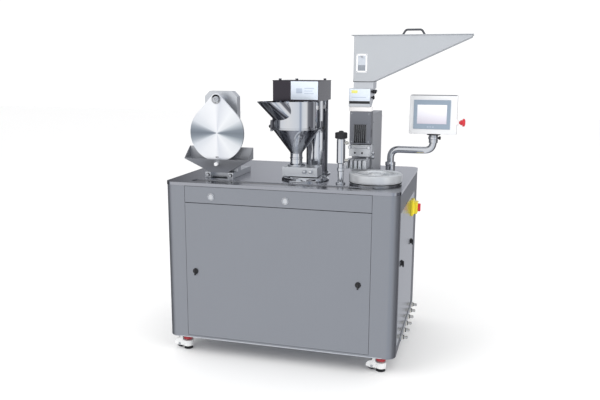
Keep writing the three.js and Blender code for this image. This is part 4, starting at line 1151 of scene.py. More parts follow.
# ---------------------------------------------------------------- casters
@dataclass
class LevellingCaster:
    """Caster with a levelling foot, worked by a dial in the window of its casing."""

    side: str
    wheel_radius: float = 21.0
    knurls: int = 20

    def build(self) -> None:
        """Build the casing, wheel and foot."""
        tag = f"caster_{self.side}"
        stem = joint_place(f"{tag}_swivel")
        axle = joint_place(f"{tag}_roll")
        self.casing(tag, Vector((stem.x, stem.y, 0)), axle)
        self.wheel(tag, axle)
        self.foot(tag, Vector((stem.x, stem.y, 0)))

    def casing(self, tag: str, stem: Vector, axle: Vector) -> None:
        """Die-cast casing, its top plate and the axle's caps.

        Args:
            tag: Name of the caster.
            stem: Point on the floor under its stem.
            axle: Middle of the wheel.
        """
        body = f"{tag}_body"
        fit(refined(body, f"{tag}_casing", 2.2), CASTER_COAT, body, Slot.CASTER, body)
        top = (extent(body).high.z) / MM
        plate = turned(
            f"{tag}_plate", ((0, top - 5), (33, top - 5), (34, top - 4), (34, top - 0.6), (0, top - 0.6)),
            stem
        )
        fit(plate, ZINC, body, Slot.SATIN)
        for sign, axis in ((-1, Axis.FRONT), (1, Axis.BACK)):
            place = shifted(axle, y=sign * 16)
            fit(
                hexagon(f"{tag}_axle_{axis.name.lower()}", 11, 3, place, axis), SCREW_STEEL, body,
                Slot.SATIN,
            )

    def wheel(self, tag: str, axle: Vector) -> None:
        """Wheel with a rounded tread and dished sides, dressed in black rubber in the nylon slot.

        Args:
            tag: Name of the caster.
            axle: Middle of the wheel.
        """
        r = self.wheel_radius
        profile = (
            (5, -15), (5, -8), (12, -8), (15, -10.6), (r - 2.5, -10.6), (r - 0.8, -8.5), (r, -5), (r, 5),
            (r - 0.8, 8.5), (r - 2.5, 10.6), (15, 10.6), (12, 8), (5, 8), (5, 15), (0, 15),
        )
        tyre = turned(f"{tag}_tyre", ((0, -15), *profile), axle, Axis.BACK)
        fit(tyre, RUBBER, f"{tag}_wheel", Slot.NYLON, f"{tag}_wheel")

    def foot(self, tag: str, stem: Vector) -> None:
        """Rubber pad, steel screw and the ribbed red dial.

        Args:
            tag: Name of the caster.
            stem: Point on the floor under its stem.
        """
        node = f"{tag}_foot"
        box = extent(node)
        top = box.high.z / MM
        dial_radius = (box.high.x - box.low.x) / 2 / MM
        low, high = (top - 14, top) if dial_radius > 22 else (9, 21)
        dial = turned(
            f"{tag}_dial",
            (
                (0, low), (dial_radius - 2, low), (dial_radius - 1, low + 2), (dial_radius - 1, high - 2),
                (dial_radius - 2, high), (0, high),
            ),
            stem,
        )
        ribs = []
        for index in range(self.knurls):
            angle = index / self.knurls * TAU
            place = Vector(stem) + Vector((math.cos(angle), math.sin(angle), 0)) * (dial_radius - 1.2) * MM
            ribs.append(
                turned(
                    f"rib_{index}", ((0, low + 1), (1.2, low + 1), (1.2, high - 1), (0, high - 1)), place,
                    steps=8,
                )
            )
        fit(merged(f"{tag}_dial", [dial, *ribs]), RED_DIAL, node, Slot.CASTER_RED, node)
        screw = [(0, 3)]
        turns = int((top - 8) // 3)
        for thread in range(turns):
            screw += [(6, 6 + thread * 3), (5.2, 7.5 + thread * 3)]
        screw += [(5.2, top - 1), (0, top - 1)]
        fit(turned(f"{tag}_screw", screw, stem, steps=20, bevel=0), SCREW_STEEL, node, Slot.SATIN)
        pad_radius = min(dial_radius - 1, 22)
        pad = turned(
            f"{tag}_pad",
            (
                (0, 0), (pad_radius - 1, 0), (pad_radius, 1), (pad_radius, 4.5), (pad_radius - 4, 7.5),
                (0, 8),
            ),
            stem
        )
        fit(pad, RUBBER, node, Slot.BLACK)


# ---------------------------------------------------------------- closing station
@dataclass
class ClosingStation:
    """Swinging round plate before a chamfered block, over a folded trough."""

    disc_radius: float = 140.0
    apex_radius: float = 28.0
    washer_radius: float = 24.0
    outline_steps: int = 40
    # Painted highlight and shade fans round the plate's centre: share of the half turn and hex colour.
    fans: tuple[tuple[float, str], ...] = field(
        default=(
            (0.0, "#7E868F"), (0.05, "#8A929B"), (0.1, "#B9C0C7"), (0.16, "#E3E6EA"), (0.3, "#F2F4F7"),
            (0.46, "#DFE2E9"), (0.52, "#F6F7FA"), (0.7, "#EDEFF3"), (0.85, "#DCE0E6"), (0.91, "#A5ACB5"),
            (0.96, "#868E98"), (1.0, "#7A828C"),
        )
    )

    def build(self) -> None:
        """Build and dress the station."""
        self.stand()
        self.plate()
        self.ejector()
        self.trough()

    def stand(self) -> None:
        """Base, block and the knobs on the base's feet."""
        fit(
            refined("closing_bracket", "closing_base", 1.5), BRIGHT_STEEL, "cabinet", Slot.ALUMINIUM,
            "closing_bracket",
        )
        fit(
            refined("closing_block", "closing_block_body", 2.0), BRIGHT_STEEL, "cabinet", Slot.ALUMINIUM,
            "closing_block",
        )
        base = extent("closing_bracket")
        leg = 15 * MM
        for name, x in (("left", base.low.x + leg), ("right", base.high.x - leg)):
            place = Vector((x, base.low.y + 9 * MM, base.middle.z))
            knob = turned(
                f"closing_base_knob_{name}", ((8.4, 0), (9.4, 0), (9.4, 7), (8, 8.4), (3, 8.8), (0, 8.2)),
                place, Axis.FRONT
            )
            fit(knob, BLACK, "cabinet", Slot.BLACK)
        pivot = joint_place("closing_plate_swing")
        front = extent("closing_block").low.y
        place = Vector((pivot.x, front, pivot.z))
        fit(
            hexagon("pivot_nut", 13, 7, shifted(place, y=7), Axis.FRONT), SCREW_STEEL, "cabinet",
            Slot.SATIN,
        )
        washer = turned(
            "pivot_washer",
            (
                (8, 0), (self.washer_radius, 0), (self.washer_radius, 2), (self.washer_radius - 2, 2.6),
                (14, 2.6), (12, 1.6), (8, 1.6),
            ),
            shifted(place, y=11.6),
            Axis.FRONT,
        )
        fit(washer, MIRROR, "cabinet", Slot.POLISHED)

    def plate(self) -> None:
        """Plate: a disc that runs up to a small round apex, faced on a lathe, with painted highlight and
        shade fans.
        """
        box = extent("closing_plate")
        pivot = joint_place("closing_plate_swing")
        disc, apex = self.disc_radius * MM, self.apex_radius * MM
        centre = Vector((pivot.x, box.low.y, box.low.z + disc))
        rise = pivot.z - centre.z
        lean = math.asin((disc - apex) / rise)
        sweep = math.pi + 2 * lean
        points = []
        for step in range(2 * self.outline_steps + 1):
            angle = math.pi - lean + sweep * step / (2 * self.outline_steps)
            points.append(centre + Vector((math.cos(angle), 0, math.sin(angle))) * disc)
        for step in range(self.outline_steps // 2 + 1):
            angle = lean + (math.pi - 2 * lean) * step / (self.outline_steps // 2)
            points.append(
                centre + Vector((0, 0, rise)) + Vector((math.cos(angle), 0, math.sin(angle))) * apex
            )
        plate = cut_out("swing_plate", points, (0, box.high.y - box.low.y, 0), bevel=1.2)
        hole = turned(
            "pivot_hole", ((0, -5), (8.8, -5), (8.8, 20), (0, 20)), (pivot.x, box.low.y, pivot.z),
            Axis.BACK, bevel=0
        )
        rounded(drilled(plate, [hole]), 0, angle=30)
        # The fans paint highlight and shade into the plate's colour.
        faced = TurnedMetal(
            "lathe_faced_stainless", "#E4E7EB", metallic=0.75, roughness=0.36, feature=2.4,
            contrast=0.035, relief=0.02, centre=tuple(centre), upright=False, fans=self.fans,
        )
        fit(plate, faced, "closing_plate", Slot.SATIN, "closing_plate")
        lug = shifted(centre, y=0.2, z=-self.disc_radius + 22)
        catch = block(
            "plate_catch", shifted(lug, x=-8, y=-3.2, z=-3), shifted(lug, x=8, y=0, z=3), bevel=1.0
        )
        fit(catch, SCREW_STEEL, "closing_plate", Slot.SATIN)
        fit(
            socket_screw("plate_catch_screw", 2.4, 2.2, shifted(lug, y=-3), Axis.FRONT), BLACK,
            "closing_plate", Slot.BLACK,
        )

    def ejector(self) -> None:
        """Pin plate behind the swinging plate."""
        node = "ejector_plate"
        fit(refined(node, "pin_plate", 0.8), MILLED, node, Slot.ALUMINIUM, node)

    def trough(self) -> None:
        """Folded trough and the stop knob at its lip."""
        fit(
            refined("collecting_trough", "trough_sheet", 0.7), SATIN_STEEL, "cabinet", Slot.CABINET,
            "collecting_trough",
        )
        box = extent("closing_plate")
        pivot = joint_place("closing_plate_swing")
        place = Vector((pivot.x, box.low.y, box.low.z - 12 * MM))
        knob = turned(
            "stop_knob", ((0, 5), (8.2, 5), (9.6, 7), (9.6, 20), (8.4, 22.4), (4, 23), (0, 22.6)), place,
            Axis.FRONT
        )
        fit(knob, WHITE_COAT, "cabinet", Slot.WHITE_PAINT)


# ---------------------------------------------------------------- powder station
@dataclass
class PowderStation:
    """Polished hopper with its auger, on a head that a column carries over a dish."""

    hopper_wall: float = 2.5
    cone_height: float = 126.0
    inlet_radius: float = 78.0
    inlet_turn: float = 52.0
    inlet_reach: float = 142.0
    inlet_rise: float = 125.0
    inlet_lean: float = 138.0
    sign_left: float = 0.4
    sign_bottom: float = 0.08

    def build(self) -> None:
        """Build and dress the station."""
        self.dish()
        self.column()
        self.shoe()
        self.hopper()
        self.clamps()
        self.head()

    def dish(self) -> None:
        """Round dish with a stepped rim."""
        box = extent("powder_turntable")
        x, y = box.middle.x, box.middle.y
        base = extent("table_top").high.z
        top = (box.high.z - base) / MM
        radius = (box.high.x - box.low.x) / 2 / MM
        depth = (base - box.low.z) / MM
        profile = (
            (0, -depth), (15, -depth), (15, 0.6), (radius, 0.6), (radius, 6), (radius - 4, 9),
            (radius - 10, top), (radius - 16, top), (radius - 20, top - 3.5), (radius - 36, top - 3.5),
            (radius - 39, top), (0, top),
        )
        dish = turned("powder_dish", profile, (x, y, base), steps=96, bevel=0.8)
        fit(dish, MIRROR, "powder_turntable", Slot.POLISHED, "powder_turntable")

    def column(self) -> None:
        """Column, its collar at the table and the spigot in the head."""
        box = extent("powder_column")
        table = extent("table_top").high.z
        head = extent("drive_housing").low.z
        foot = Vector((box.middle.x, box.middle.y, table))
        radius = (box.high.x - box.low.x) / 2 / MM
        low, high, tip = ((z - table) / MM for z in (box.low.z, head - 0.3 * MM, box.high.z))
        profile = (
            (radius - 6, low), (radius, low), (radius, high), (28, high), (28, tip), (0, tip),
            (0, high - 12), (radius - 6, high - 12), (radius - 6, low),
        )
        pillar = turned("column_tube", profile, foot, steps=96, bevel=1.0)
        fit(pillar, MIRROR, "powder_column", Slot.POLISHED, "powder_column")
        collar = turned(
            "column_collar",
            (
                (radius + 0.9, 0.3), (radius + 16, 0.3), (radius + 16, 5), (radius + 6, 7),
                (radius + 5, 16), (radius + 0.9, 16), (radius + 0.9, 0.3),
            ),
            foot,
            steps=96,
        )
        fit(collar, MIRROR, "cabinet", Slot.POLISHED)

    def shoe(self) -> None:
        """Dosing shoe with its knob and screws, and the tube over it."""
        fit(
            refined("dosing_shoe", "dosing_shoe_body", 2.0), BRIGHT_STEEL, "powder_head", Slot.ALUMINIUM,
            "dosing_shoe",
        )
        box = extent("dosing_shoe")
        for index, (x, y) in enumerate(((0.1, 0.15), (0.1, 0.85), (0.92, 0.15), (0.92, 0.85))):
            place = box.at(x, y, 1.0)
            fit(
                socket_screw(f"shoe_screw_{index + 1}", 5, 4, place, Axis.UP), SCREW_STEEL, "powder_head",
                Slot.SATIN,
            )
        side = box.at(0.82, 0.0, 0.55)
        side.y = box.low.y + 18 * MM - 2 * MM
        knob = turned(
            "shoe_side_knob", ((0, 0), (5, 0), (5, 6), (8, 7), (8, 13), (6, 14), (0, 14)), side,
            Axis.FRONT,
        )
        fit(knob, MIRROR, "powder_head", Slot.POLISHED)
        tube = extent("auger_tube")
        foot = Vector((tube.middle.x, tube.middle.y, tube.low.z))
        height = (tube.high.z - tube.low.z) / MM
        profile = (
            (26, 0), (44, 0), (44, 5), (38, 6.5), (33, 9), (30, 12), (30, height * 0.55),
            (32.5, height * 0.58),
            (32.5, height * 0.66), (30, height * 0.69), (30, height), (26, height), (26, 0),
        )
        fit(
            turned("auger_sleeve", profile, foot, steps=72), MIRROR, "powder_head", Slot.POLISHED,
            "auger_tube",
        )
        for index in range(4):
            angle = TAU * (index + 0.5) / 4
            place = foot + Vector((math.cos(angle) * 39, math.sin(angle) * 39, 5.4)) * MM
            fit(hexagon(f"sleeve_screw_{index + 1}", 7, 3, place), SCREW_STEEL, "powder_head", Slot.SATIN)
        fit(refined("auger", "auger_screw", 0.0, angle=50), BRIGHT_STEEL, "auger", Slot.SATIN, "auger")

    def leaning(self, piece: Solid, mouth: Vector) -> Solid:
        """Lean an upright tube piece back to the barrel and turn it to the inlet's direction.

        Args:
            piece: Piece spun about the Z axis, its mouth at height 0.
            mouth: Point on the barrel's axis at the height of the mouth.

        Returns:
            The same piece.
        """
        lean = Matrix.Identity(4)
        lean[0][2] = -self.inlet_lean / self.inlet_rise
        out = Matrix.Translation((-self.inlet_reach * MM, 0, 0))
        turn = Matrix.Rotation(math.radians(self.inlet_turn), 4, "Z")
        piece.data.transform(Matrix.Translation(mouth) @ turn @ out @ lean)
        return piece

    def hopper(self) -> None:
        """Spun hopper: cone, flange and barrel, with the wide leaning inlet let into its side."""
        box = extent("powder_hopper")
        axis = joint_place("auger_spin")
        foot = Vector((axis.x, axis.y, box.low.z))
        height = (box.high.z - box.low.z) / MM
        cone = self.cone_height
        radius = (box.high.x - axis.x) / MM - 4
        wall = self.hopper_wall
        outside = (
            (31, 0), (31, 4), (radius, cone - 5), (radius + 4, cone - 4), (radius + 4, cone - 0.5),
            (radius + 3.2, cone), (radius + 4, cone + 0.5), (radius + 4, cone + 4), (radius, cone + 5),
            (radius, height - 2), (radius - 1, height),
        )
        inside = ((radius - wall, height), (radius - wall, cone), (26, 2), (26, 0), (31, 0))
        shell = turned("hopper_shell", (*outside, *inside), foot, steps=96, bevel=0.5)
        mouth = shifted(foot, z=height)
        r, low = self.inlet_radius, -self.inlet_rise
        tube = (
            (r - wall, low), (r, low), (r, -3), (r + 1.2, -2.4), (r + 1.2, -0.4), (r - wall, -0.4),
            (r - wall, low),
        )
        scoop = self.leaning(turned("inlet_scoop", tube, (0, 0, 0), steps=96, bevel=0), mouth)
        core = turned(
            "barrel_core",
            ((0, 6), (radius - wall / 2, cone), (radius - wall / 2, height + 20), (0, height + 20)), foot,
            steps=96, bevel=0,
        )
        drilled(scoop, [core])
        bore_profile = ((0, low - 4), (r - wall, low - 4), (r - wall, 4), (0, 4))
        drilled(
            shell, [self.leaning(turned("inlet_bore", bore_profile, (0, 0, 0), steps=96, bevel=0), mouth)]
        )
        rounded(scoop, 0, angle=40)
        rounded(shell, 0, angle=40)
        fit(shell, MIRROR, "powder_head", Slot.POLISHED, "powder_hopper")
        fit(scoop, MIRROR, "powder_head", Slot.POLISHED)

    def clamps(self) -> None:
        """Toggle clamps on the hopper's flange, each with its hinge pin and knob."""
        for side, sign in (("left", -1), ("right", 1)):
            node = f"hopper_clamp_{side}"
            box = extent(node)
            fit(refined(node, f"{node}_lever", 0.8), GREY_STEEL, node, Slot.SATIN, node)
            place = Vector((box.middle.x, box.low.y, box.low.z + 5 * MM))
            pin = hexagon(f"{node}_pin", 8, 3, place, Axis.FRONT)
            fit(pin, SCREW_STEEL, node, Slot.SATIN)
            tip = Vector((box.middle.x + sign * 2 * MM, box.middle.y, box.low.z + 24 * MM))
            knob = turned(
                f"{node}_knob", ((0, 0), (3, 0), (3, 3), (7, 4), (8, 7), (7, 11), (3, 12.5), (0, 12.6)),
                tip, Axis.RIGHT if sign > 0 else Axis.LEFT
            )
            fit(knob, BLACK, node, Slot.BLACK)

    def head(self) -> None:
        """Drive housing with its sign, lid and screws, and the motor in it."""
        node = "drive_housing"
        # The case's dark colour is a painted reflection of the dark room.
        fit(refined(node, "drive_case", 1.5), DARK_MIRROR, "powder_head", Slot.DARK_MIRROR, node)
        box = extent(node)
        case_top = box.low.z + 98 * MM
        width = box.high.x - box.low.x
        left = box.low.x + width * self.sign_left
        bottom = box.low.z + (case_top - box.low.z) * self.sign_bottom
        sign_low = Vector((left, box.low.y - 1.2 * MM, bottom))
        sign_high = Vector((box.high.x - 2 * MM, box.low.y - 0.1 * MM, case_top - 2 * MM))
        fit(block("drive_sign", sign_low, sign_high, bevel=0.4), SIGN, "powder_head", Slot.WHITE_PAINT)
        sign = Extent(sign_low, sign_high)
        for index, (x0, x1, z0, z1) in enumerate(
            (
                (0.2, 0.42, 0.35, 0.62), (0.5, 0.86, 0.6, 0.64), (0.5, 0.8, 0.46, 0.5),
                (0.5, 0.84, 0.32, 0.36),
            )
        ):
            low, high = sign.at(x0, 0.0, z0), sign.at(x1, 0.0, z1)
            low.y, high.y = sign_low.y - 0.3 * MM, sign_low.y
            fit(
                block(f"drive_sign_mark_{index + 1}", low, high, bevel=0.1), SIGN_INK, "powder_head",
                Slot.WHITE_PAINT,
            )
        rim_low = Vector((box.low.x - 2 * MM, box.low.y - 2 * MM, case_top - 0.2 * MM))
        rim_high = Vector((box.high.x + 2 * MM, box.high.y + 2 * MM, case_top + 2.5 * MM))
        # The lid's dark colour is a painted reflection of the dark room.
        fit(block("drive_lid", rim_low, rim_high, bevel=0.9), DARK_MIRROR, "powder_head", Slot.DARK_MIRROR)
        for index, (x, y) in enumerate(((30, 26), (115, 26), (206, 240))):
            place = Vector((box.low.x + x * MM, box.low.y + y * MM, case_top + 2.4 * MM))
            head = turned(
                f"drive_screw_{index + 1}",
                ((0, 0), (3.5, 0), (3.5, 4.5), (7, 5.2), (7, 8.4), (6, 9.2), (0, 9.6)), place, steps=24
            )
            fit(head, SCREW_STEEL, "powder_head", Slot.SATIN)
        fit(
            refined("auger_motor", "auger_motor_case", 1.5), BLACK, "powder_head", Slot.BLACK,
            "auger_motor",
        )


# ---------------------------------------------------------------- capsule loader
@dataclass
class Loader:
    """Tower that lets capsules fall in rows from the wedge hopper to the ring."""

    grooves: int = 6
    tines: int = 5
    handle_radius: float = 5.0

    def build(self) -> None:
        """Build and dress the loader."""
        self.post()
        self.fork()
        self.sowing_head()
        self.magazine()
        self.housing()
        self.feeder()
        self.hopper()
        self.lid()

    def post(self) -> None:
        """Slim polished cylinder with a knurled black knob."""
        node = "post_cylinder"
        box = extent(node)
        foot = Vector((box.low.x + 29 * MM, box.middle.y, box.low.z))
        height = (box.high.z - box.low.z) / MM
        stem = (
            (0, 0), (23, 0), (23, 6), (18, 8), (14, 9), (14, 60), (17, 62), (17, 76), (14, 78), (14, 97),
            (18, 99),
            (20.5, 101), (20.5, height - 44), (18.5, height - 41), (18.5, height - 37), (0, height - 37),
        )
        fit(turned("post_stem", stem, foot, steps=56), MIRROR, "cabinet", Slot.POLISHED, node)
        knob = turned(
            "post_knob",
            (
                (0, height - 38), (24, height - 38), (29, height - 35), (29, height - 12),
                (26, height - 9), (12, height - 7), (10, height - 2), (0, height),
            ),
            foot,
            steps=56,
            bevel=1.0,
        )
        cutters = []
        for index in range(18):
            angle = TAU * index / 18
            place = foot + Vector((math.cos(angle), math.sin(angle), 0)) * 30.5 * MM
            cutters.append(
                turned(
                    f"flute_{index}",
                    ((0, height - 40), (2.6, height - 40), (2.6, height - 4), (0, height - 4)), place,
                    steps=10, bevel=0,
                )
            )
        drilled(knob, [merged("flutes", cutters)])
        fit(rounded(knob, 0), BLACK, "cabinet", Slot.BLACK)
        for index, z in enumerate((113, height - 58)):
            place = shifted(foot, x=19, z=z)
            elbow = turned(
                f"post_fitting_{index + 1}",
                ((0, 0), (6, 0), (6, 5), (8, 5.5), (8, 11), (6.5, 12), (6.5, 17), (3, 17), (0, 14)),
                place, Axis.RIGHT, steps=24
            )
            fit(elbow, NICKEL, "cabinet", Slot.NICKEL)

    def fork(self) -> None:
        """Pusher fork with bright tines."""
        node = "pusher_fork"
        fit(refined(node, "fork_body", 0.8), MILLED, node, Slot.ALUMINIUM, node)
        box = extent(node)
        width = box.high.x - box.low.x
        pitch = width / self.tines
        top = box.low.z + 42 * MM
        for index in range(self.tines):
            x = box.low.x + pitch * (index + 0.5)
            low = Vector((x - 3.4 * MM, box.low.y - 2 * MM, box.low.z + 2 * MM))
            high = Vector((x + 3.4 * MM, box.low.y + 3 * MM, top - 3 * MM))
            fit(block(f"fork_rib_{index + 1}", low, high, bevel=1.4), BRIGHT_STEEL, node, Slot.SATIN)

    def sowing_head(self) -> None:
        """Body of the sowing head, its bar with nuts, hooks and side knobs."""
        node = "sowing_head"
        fit(refined(node, "sowing_body", 1.0), MILLED, "cabinet", Slot.GREY_ALUMINIUM, node)
        box = extent(node)
        bar_z = box.high.z - 12 * MM
        for name, x in (("left", box.low.x + 10 * MM), ("right", box.high.x - 10 * MM)):
            nut = turned(
                f"bar_nut_{name}", ((0, 0), (6, 0), (9.6, 2), (9.6, 9), (8, 11.5), (3, 12), (0, 11)),
                (x, box.low.y + 11 * MM, bar_z), Axis.FRONT, steps=28,
            )
            fit(nut, MIRROR, "cabinet", Slot.POLISHED)
        for index, x in enumerate((0.3, 0.62)):
            place = box.at(x, 0.0, 0.28)
            hook = block(
                f"sowing_hook_{index + 1}", shifted(place, x=-3.5, y=6, z=-3),
                shifted(place, x=3.5, y=12.4, z=6), bevel=1.2
            )
            fit(hook, BLACK, "cabinet", Slot.BLACK)
        side = Vector((box.high.x - 2 * MM, box.low.y + 34 * MM, box.low.z + 18 * MM))
        for index, drop in enumerate((0, -22)):
            knob = turned(
                f"sowing_knob_{index + 1}",
                ((0, 0), (5, 0), (5, 6), (10, 8), (11, 12), (10, 16), (6, 18), (0, 18.5)),
                shifted(side, z=drop), Axis.RIGHT, steps=32,
            )
            fit(knob, MIRROR, "cabinet", Slot.POLISHED)

    def magazine(self) -> None:
        """Magazine body with its dark comb, frame, screws and side slot."""
        node = "magazine"
        fit(refined(node, "magazine_body", 0.9), ANODISED, node, Slot.GREY_ALUMINIUM, node)
        box = extent(node)
        comb_left = box.middle.x - 31 * MM
        comb_right = box.middle.x + 31 * MM
        low_z, high_z = box.low.z + 5 * MM, box.low.z + 100 * MM
        groove = 60 / self.grooves
        for index in range(self.grooves + 1):
            x = comb_left + (1 + index * groove) * MM
            strip_low = Vector((x - 1.95 * MM, box.low.y - 0.7 * MM, low_z))
            strip_high = Vector((x + 1.95 * MM, box.low.y + 0.5 * MM, high_z))
            fit(block(f"comb_strip_{index + 1}", strip_low, strip_high, bevel=0.2), BLACK, node, Slot.BLACK)
            low = Vector((x - 0.7 * MM, box.low.y - 1.6 * MM, low_z))
            high = Vector((x + 0.7 * MM, box.low.y - 0.6 * MM, high_z))
            fit(block(f"comb_bar_{index + 1}", low, high, bevel=0.2), SCREW_STEEL, node, Slot.SATIN)
        back = block(
            "comb_back", (comb_left, box.low.y + 6.8 * MM, low_z + 2 * MM),
            (comb_right, box.low.y + 8.4 * MM, high_z - 2 * MM), bevel=0.2
        )
        fit(back, BLACK, node, Slot.BLACK)
        for name, z0, z1 in (("low", low_z - 4 * MM, low_z), ("high", high_z, high_z + 4 * MM)):
            rail = block(
                f"comb_rail_{name}", (comb_left - 3 * MM, box.low.y - 1.6 * MM, z0),
                (comb_right + 3 * MM, box.low.y + 0.4 * MM, z1), bevel=0.6,
            )
            fit(rail, ANODISED, node, Slot.GREY_ALUMINIUM)
        for index, (x, z) in enumerate(((0.09, 0.08), (0.91, 0.08), (0.09, 0.93), (0.91, 0.93))):
            place = box.at(x, 0.0, z)
            fit(
                socket_screw(f"magazine_screw_{index + 1}", 3.2, 2.6, place, Axis.FRONT), SCREW_STEEL,
                node, Slot.SATIN,
            )
        slot_low = Vector((box.high.x - 0.4 * MM, box.low.y + 22 * MM, box.low.z + 34 * MM))
        slot_high = Vector((box.high.x + 0.8 * MM, box.low.y + 30 * MM, box.low.z + 74 * MM))
        fit(block("magazine_side_slot", slot_low, slot_high, bevel=0.4), BLACK, node, Slot.BLACK)

    def housing(self) -> None:
        """Sheet housing behind the magazine, with the hose that feeds the head."""
        node = "loader_housing"
        fit(refined(node, "housing_sheet", 1.4), SATIN_STEEL, "cabinet", Slot.CABINET, node)
        box = extent(node)
        port = Vector((box.high.x - 22 * MM, box.low.y + 24 * MM, box.high.z - 34.7 * MM))
        collar = turned(
            "hose_gland", ((0, 0), (15, 0), (15, 3), (12.5, 5), (12.5, 14), (9, 16), (0, 16)), port,
            steps=32,
        )
        fit(collar, BLACK, "cabinet", Slot.BLACK)
        hose = [(0, 12), (8, 12)]
        for rib in range(5):
            z = 14 + rib * 3.6
            hose += [(8.4, z), (8.4, z + 1.8), (7.2, z + 1.8), (7.2, z + 3.4)]
        hose += [(7.2, 33.6), (0, 33.6)]
        fit(turned("feed_hose", hose, port, steps=28, bevel=0.2), RUBBER, "cabinet", Slot.BLACK)
        for index, z in enumerate((0.12, 0.5, 0.86)):
            place = Vector((box.high.x, box.low.y + 14 * MM, box.low.z + 318 * MM * z))
            fit(
                socket_screw(f"housing_screw_{index + 1}", 3.2, 2.2, place, Axis.RIGHT), SCREW_STEEL,
                "cabinet", Slot.SATIN,
            )

    def feeder(self) -> None:
        """Feeder box with its sign, bands, white collar and side knobs."""
        node = "feeder_box"
        fit(refined(node, "feeder_case", 1.2), BRIGHT_STEEL, "cabinet", Slot.SATIN, node)
        box = extent(node)
        right = box.high.x - 14 * MM
        front = box.low.y
        case_low, case_high = box.low.z, box.low.z + 90 * MM

        def face(name: str, x0: float, x1: float, z0: float, z1: float, out: float) -> Solid:
            """Thin plate on the front of the case, from shares of its width and height."""
            width, height = right - box.low.x, case_high - case_low
            low = Vector((box.low.x + width * x0, front - out * MM, case_low + height * z0))
            high = Vector((box.low.x + width * x1, front - 0.05 * MM, case_low + height * z1))
            return block(name, low, high, bevel=0.3)

        fit(face("feeder_sign", 0.02, 0.98, 0.32, 0.98, 1.0), SIGN, "cabinet", Slot.WHITE_PAINT)
        fit(face("feeder_sign_field", 0.12, 0.4, 0.74, 0.9, 1.4), SIGN_YELLOW, "cabinet", Slot.YELLOW)
        fit(face("feeder_sign_lines", 0.12, 0.8, 0.5, 0.54, 1.3), SIGN_INK, "cabinet", Slot.WHITE_PAINT)
        fit(face("feeder_dark_band", 0.02, 0.98, 0.17, 0.31, 1.4), BLACK, "cabinet", Slot.BLACK)
        fit(face("feeder_low_band", 0.02, 0.98, 0.02, 0.16, 1.2), BRIGHT_STEEL, "cabinet", Slot.SATIN)
        magazine = extent("magazine")
        sleeve = block(
            "magazine_sleeve",
            (magazine.low.x - 4 * MM, magazine.low.y - 3 * MM, magazine.high.z + 0.4 * MM),
            (magazine.high.x + 2 * MM, magazine.low.y + 52 * MM, case_low - 0.4 * MM), bevel=1.5,
        )
        gap = block(
            "sleeve_gap", (magazine.low.x - 1 * MM, magazine.low.y - 1 * MM, magazine.high.z - 6 * MM),
            (magazine.high.x + 0.8 * MM, magazine.low.y + 60 * MM, case_low + 5 * MM), bevel=0.5,
        )
        drilled(sleeve, [gap])
        fit(sleeve, SILICONE, "cabinet", Slot.WHITE_PAINT)
        neck = extent("capsule_hopper")
        gasket = block(
            "neck_gasket", (box.low.x + 19 * MM, box.low.y + 3 * MM, neck.low.z - 3 * MM),
            (box.high.x - 2 * MM, box.low.y + 114 * MM, neck.low.z + 9 * MM), bevel=1.2,
        )
        hole = block(
            "gasket_hole", (box.low.x + 24 * MM, box.low.y + 8 * MM, neck.low.z - 16 * MM),
            (box.high.x - 7 * MM, box.low.y + 108 * MM, neck.low.z + 16 * MM), bevel=0.5,
        )
        drilled(gasket, [hole])
        fit(gasket, RUBBER, "cabinet", Slot.BLACK)
        for index, (y, z) in enumerate(((30, 0.82), (34, 0.5), (90, 0.8))):
            place = Vector((right, box.low.y + y * MM, case_low + (case_high - case_low) * z))
            knob = turned(
                f"feeder_knob_{index + 1}",
                ((0, -1), (4, -1), (4, 5), (8.5, 6), (9.5, 9), (9, 14), (6, 15.5), (0, 15.8)), place,
                Axis.RIGHT, steps=32,
            )
            fit(knob, BLACK, "cabinet", Slot.BLACK)

    def hopper(self) -> None:
        """Wedge hopper with its framed sight window and folded rims."""
        node = "capsule_hopper"
        fit(refined(node, "hopper_wedge", 1.0), HOPPER_STEEL, "cabinet", Slot.SATIN, node)
        box = extent(node)
        left, front = box.low.x, box.low.y
        low = Vector((left + 13 * MM, front - 2.6 * MM, box.low.z + 43 * MM))
        high = Vector((left + 68 * MM, front - 0.1 * MM, box.low.z + 133 * MM))
        frame = block("window_frame", low, high, bevel=1.0)
        inner_low = shifted(low, x=9, y=-6, z=9)
        inner_high = shifted(high, x=-9, y=6, z=-9)
        drilled(frame, [block("window_gap", inner_low, inner_high, bevel=1.0)])
        fit(rounded(frame, 0), WHITE_COAT, "cabinet", Slot.WHITE_PAINT)
        pane_low, pane_high = shifted(low, x=7, y=1.2, z=7), shifted(high, x=-7, y=-0.2, z=-7)
        split = pane_low.z + (pane_high.z - pane_low.z) * 0.38
        upper = block("window_pane", (pane_low.x, pane_low.y, split), pane_high, bevel=0.3)
        fit(upper, ACRYLIC, "cabinet", Slot.BEZEL)
        lower = block("window_level", pane_low, (pane_high.x, pane_high.y, split), bevel=0.3)
        fit(lower, ACRYLIC_LOW, "cabinet", Slot.BEZEL)
        for index, (x, z) in enumerate(((0, 0), (1, 0), (0, 1), (1, 1))):
            place = Vector((low.x + (4.5 + x * 46) * MM, low.y, low.z + (4.5 + z * 81) * MM))
            fit(
                socket_screw(f"window_screw_{index + 1}", 2.2, 1.2, place, Axis.FRONT), SCREW_STEEL,
                "cabinet", Slot.SATIN,
            )
        pull = turned(
            "window_pull", ((0, 0), (3, 0), (3, 3), (5, 4), (5, 6), (0, 6.6)),
            shifted(high, x=-27, y=-2.4, z=-14), Axis.FRONT, steps=24,
        )
        fit(pull, SCREW_STEEL, "cabinet", Slot.SATIN)

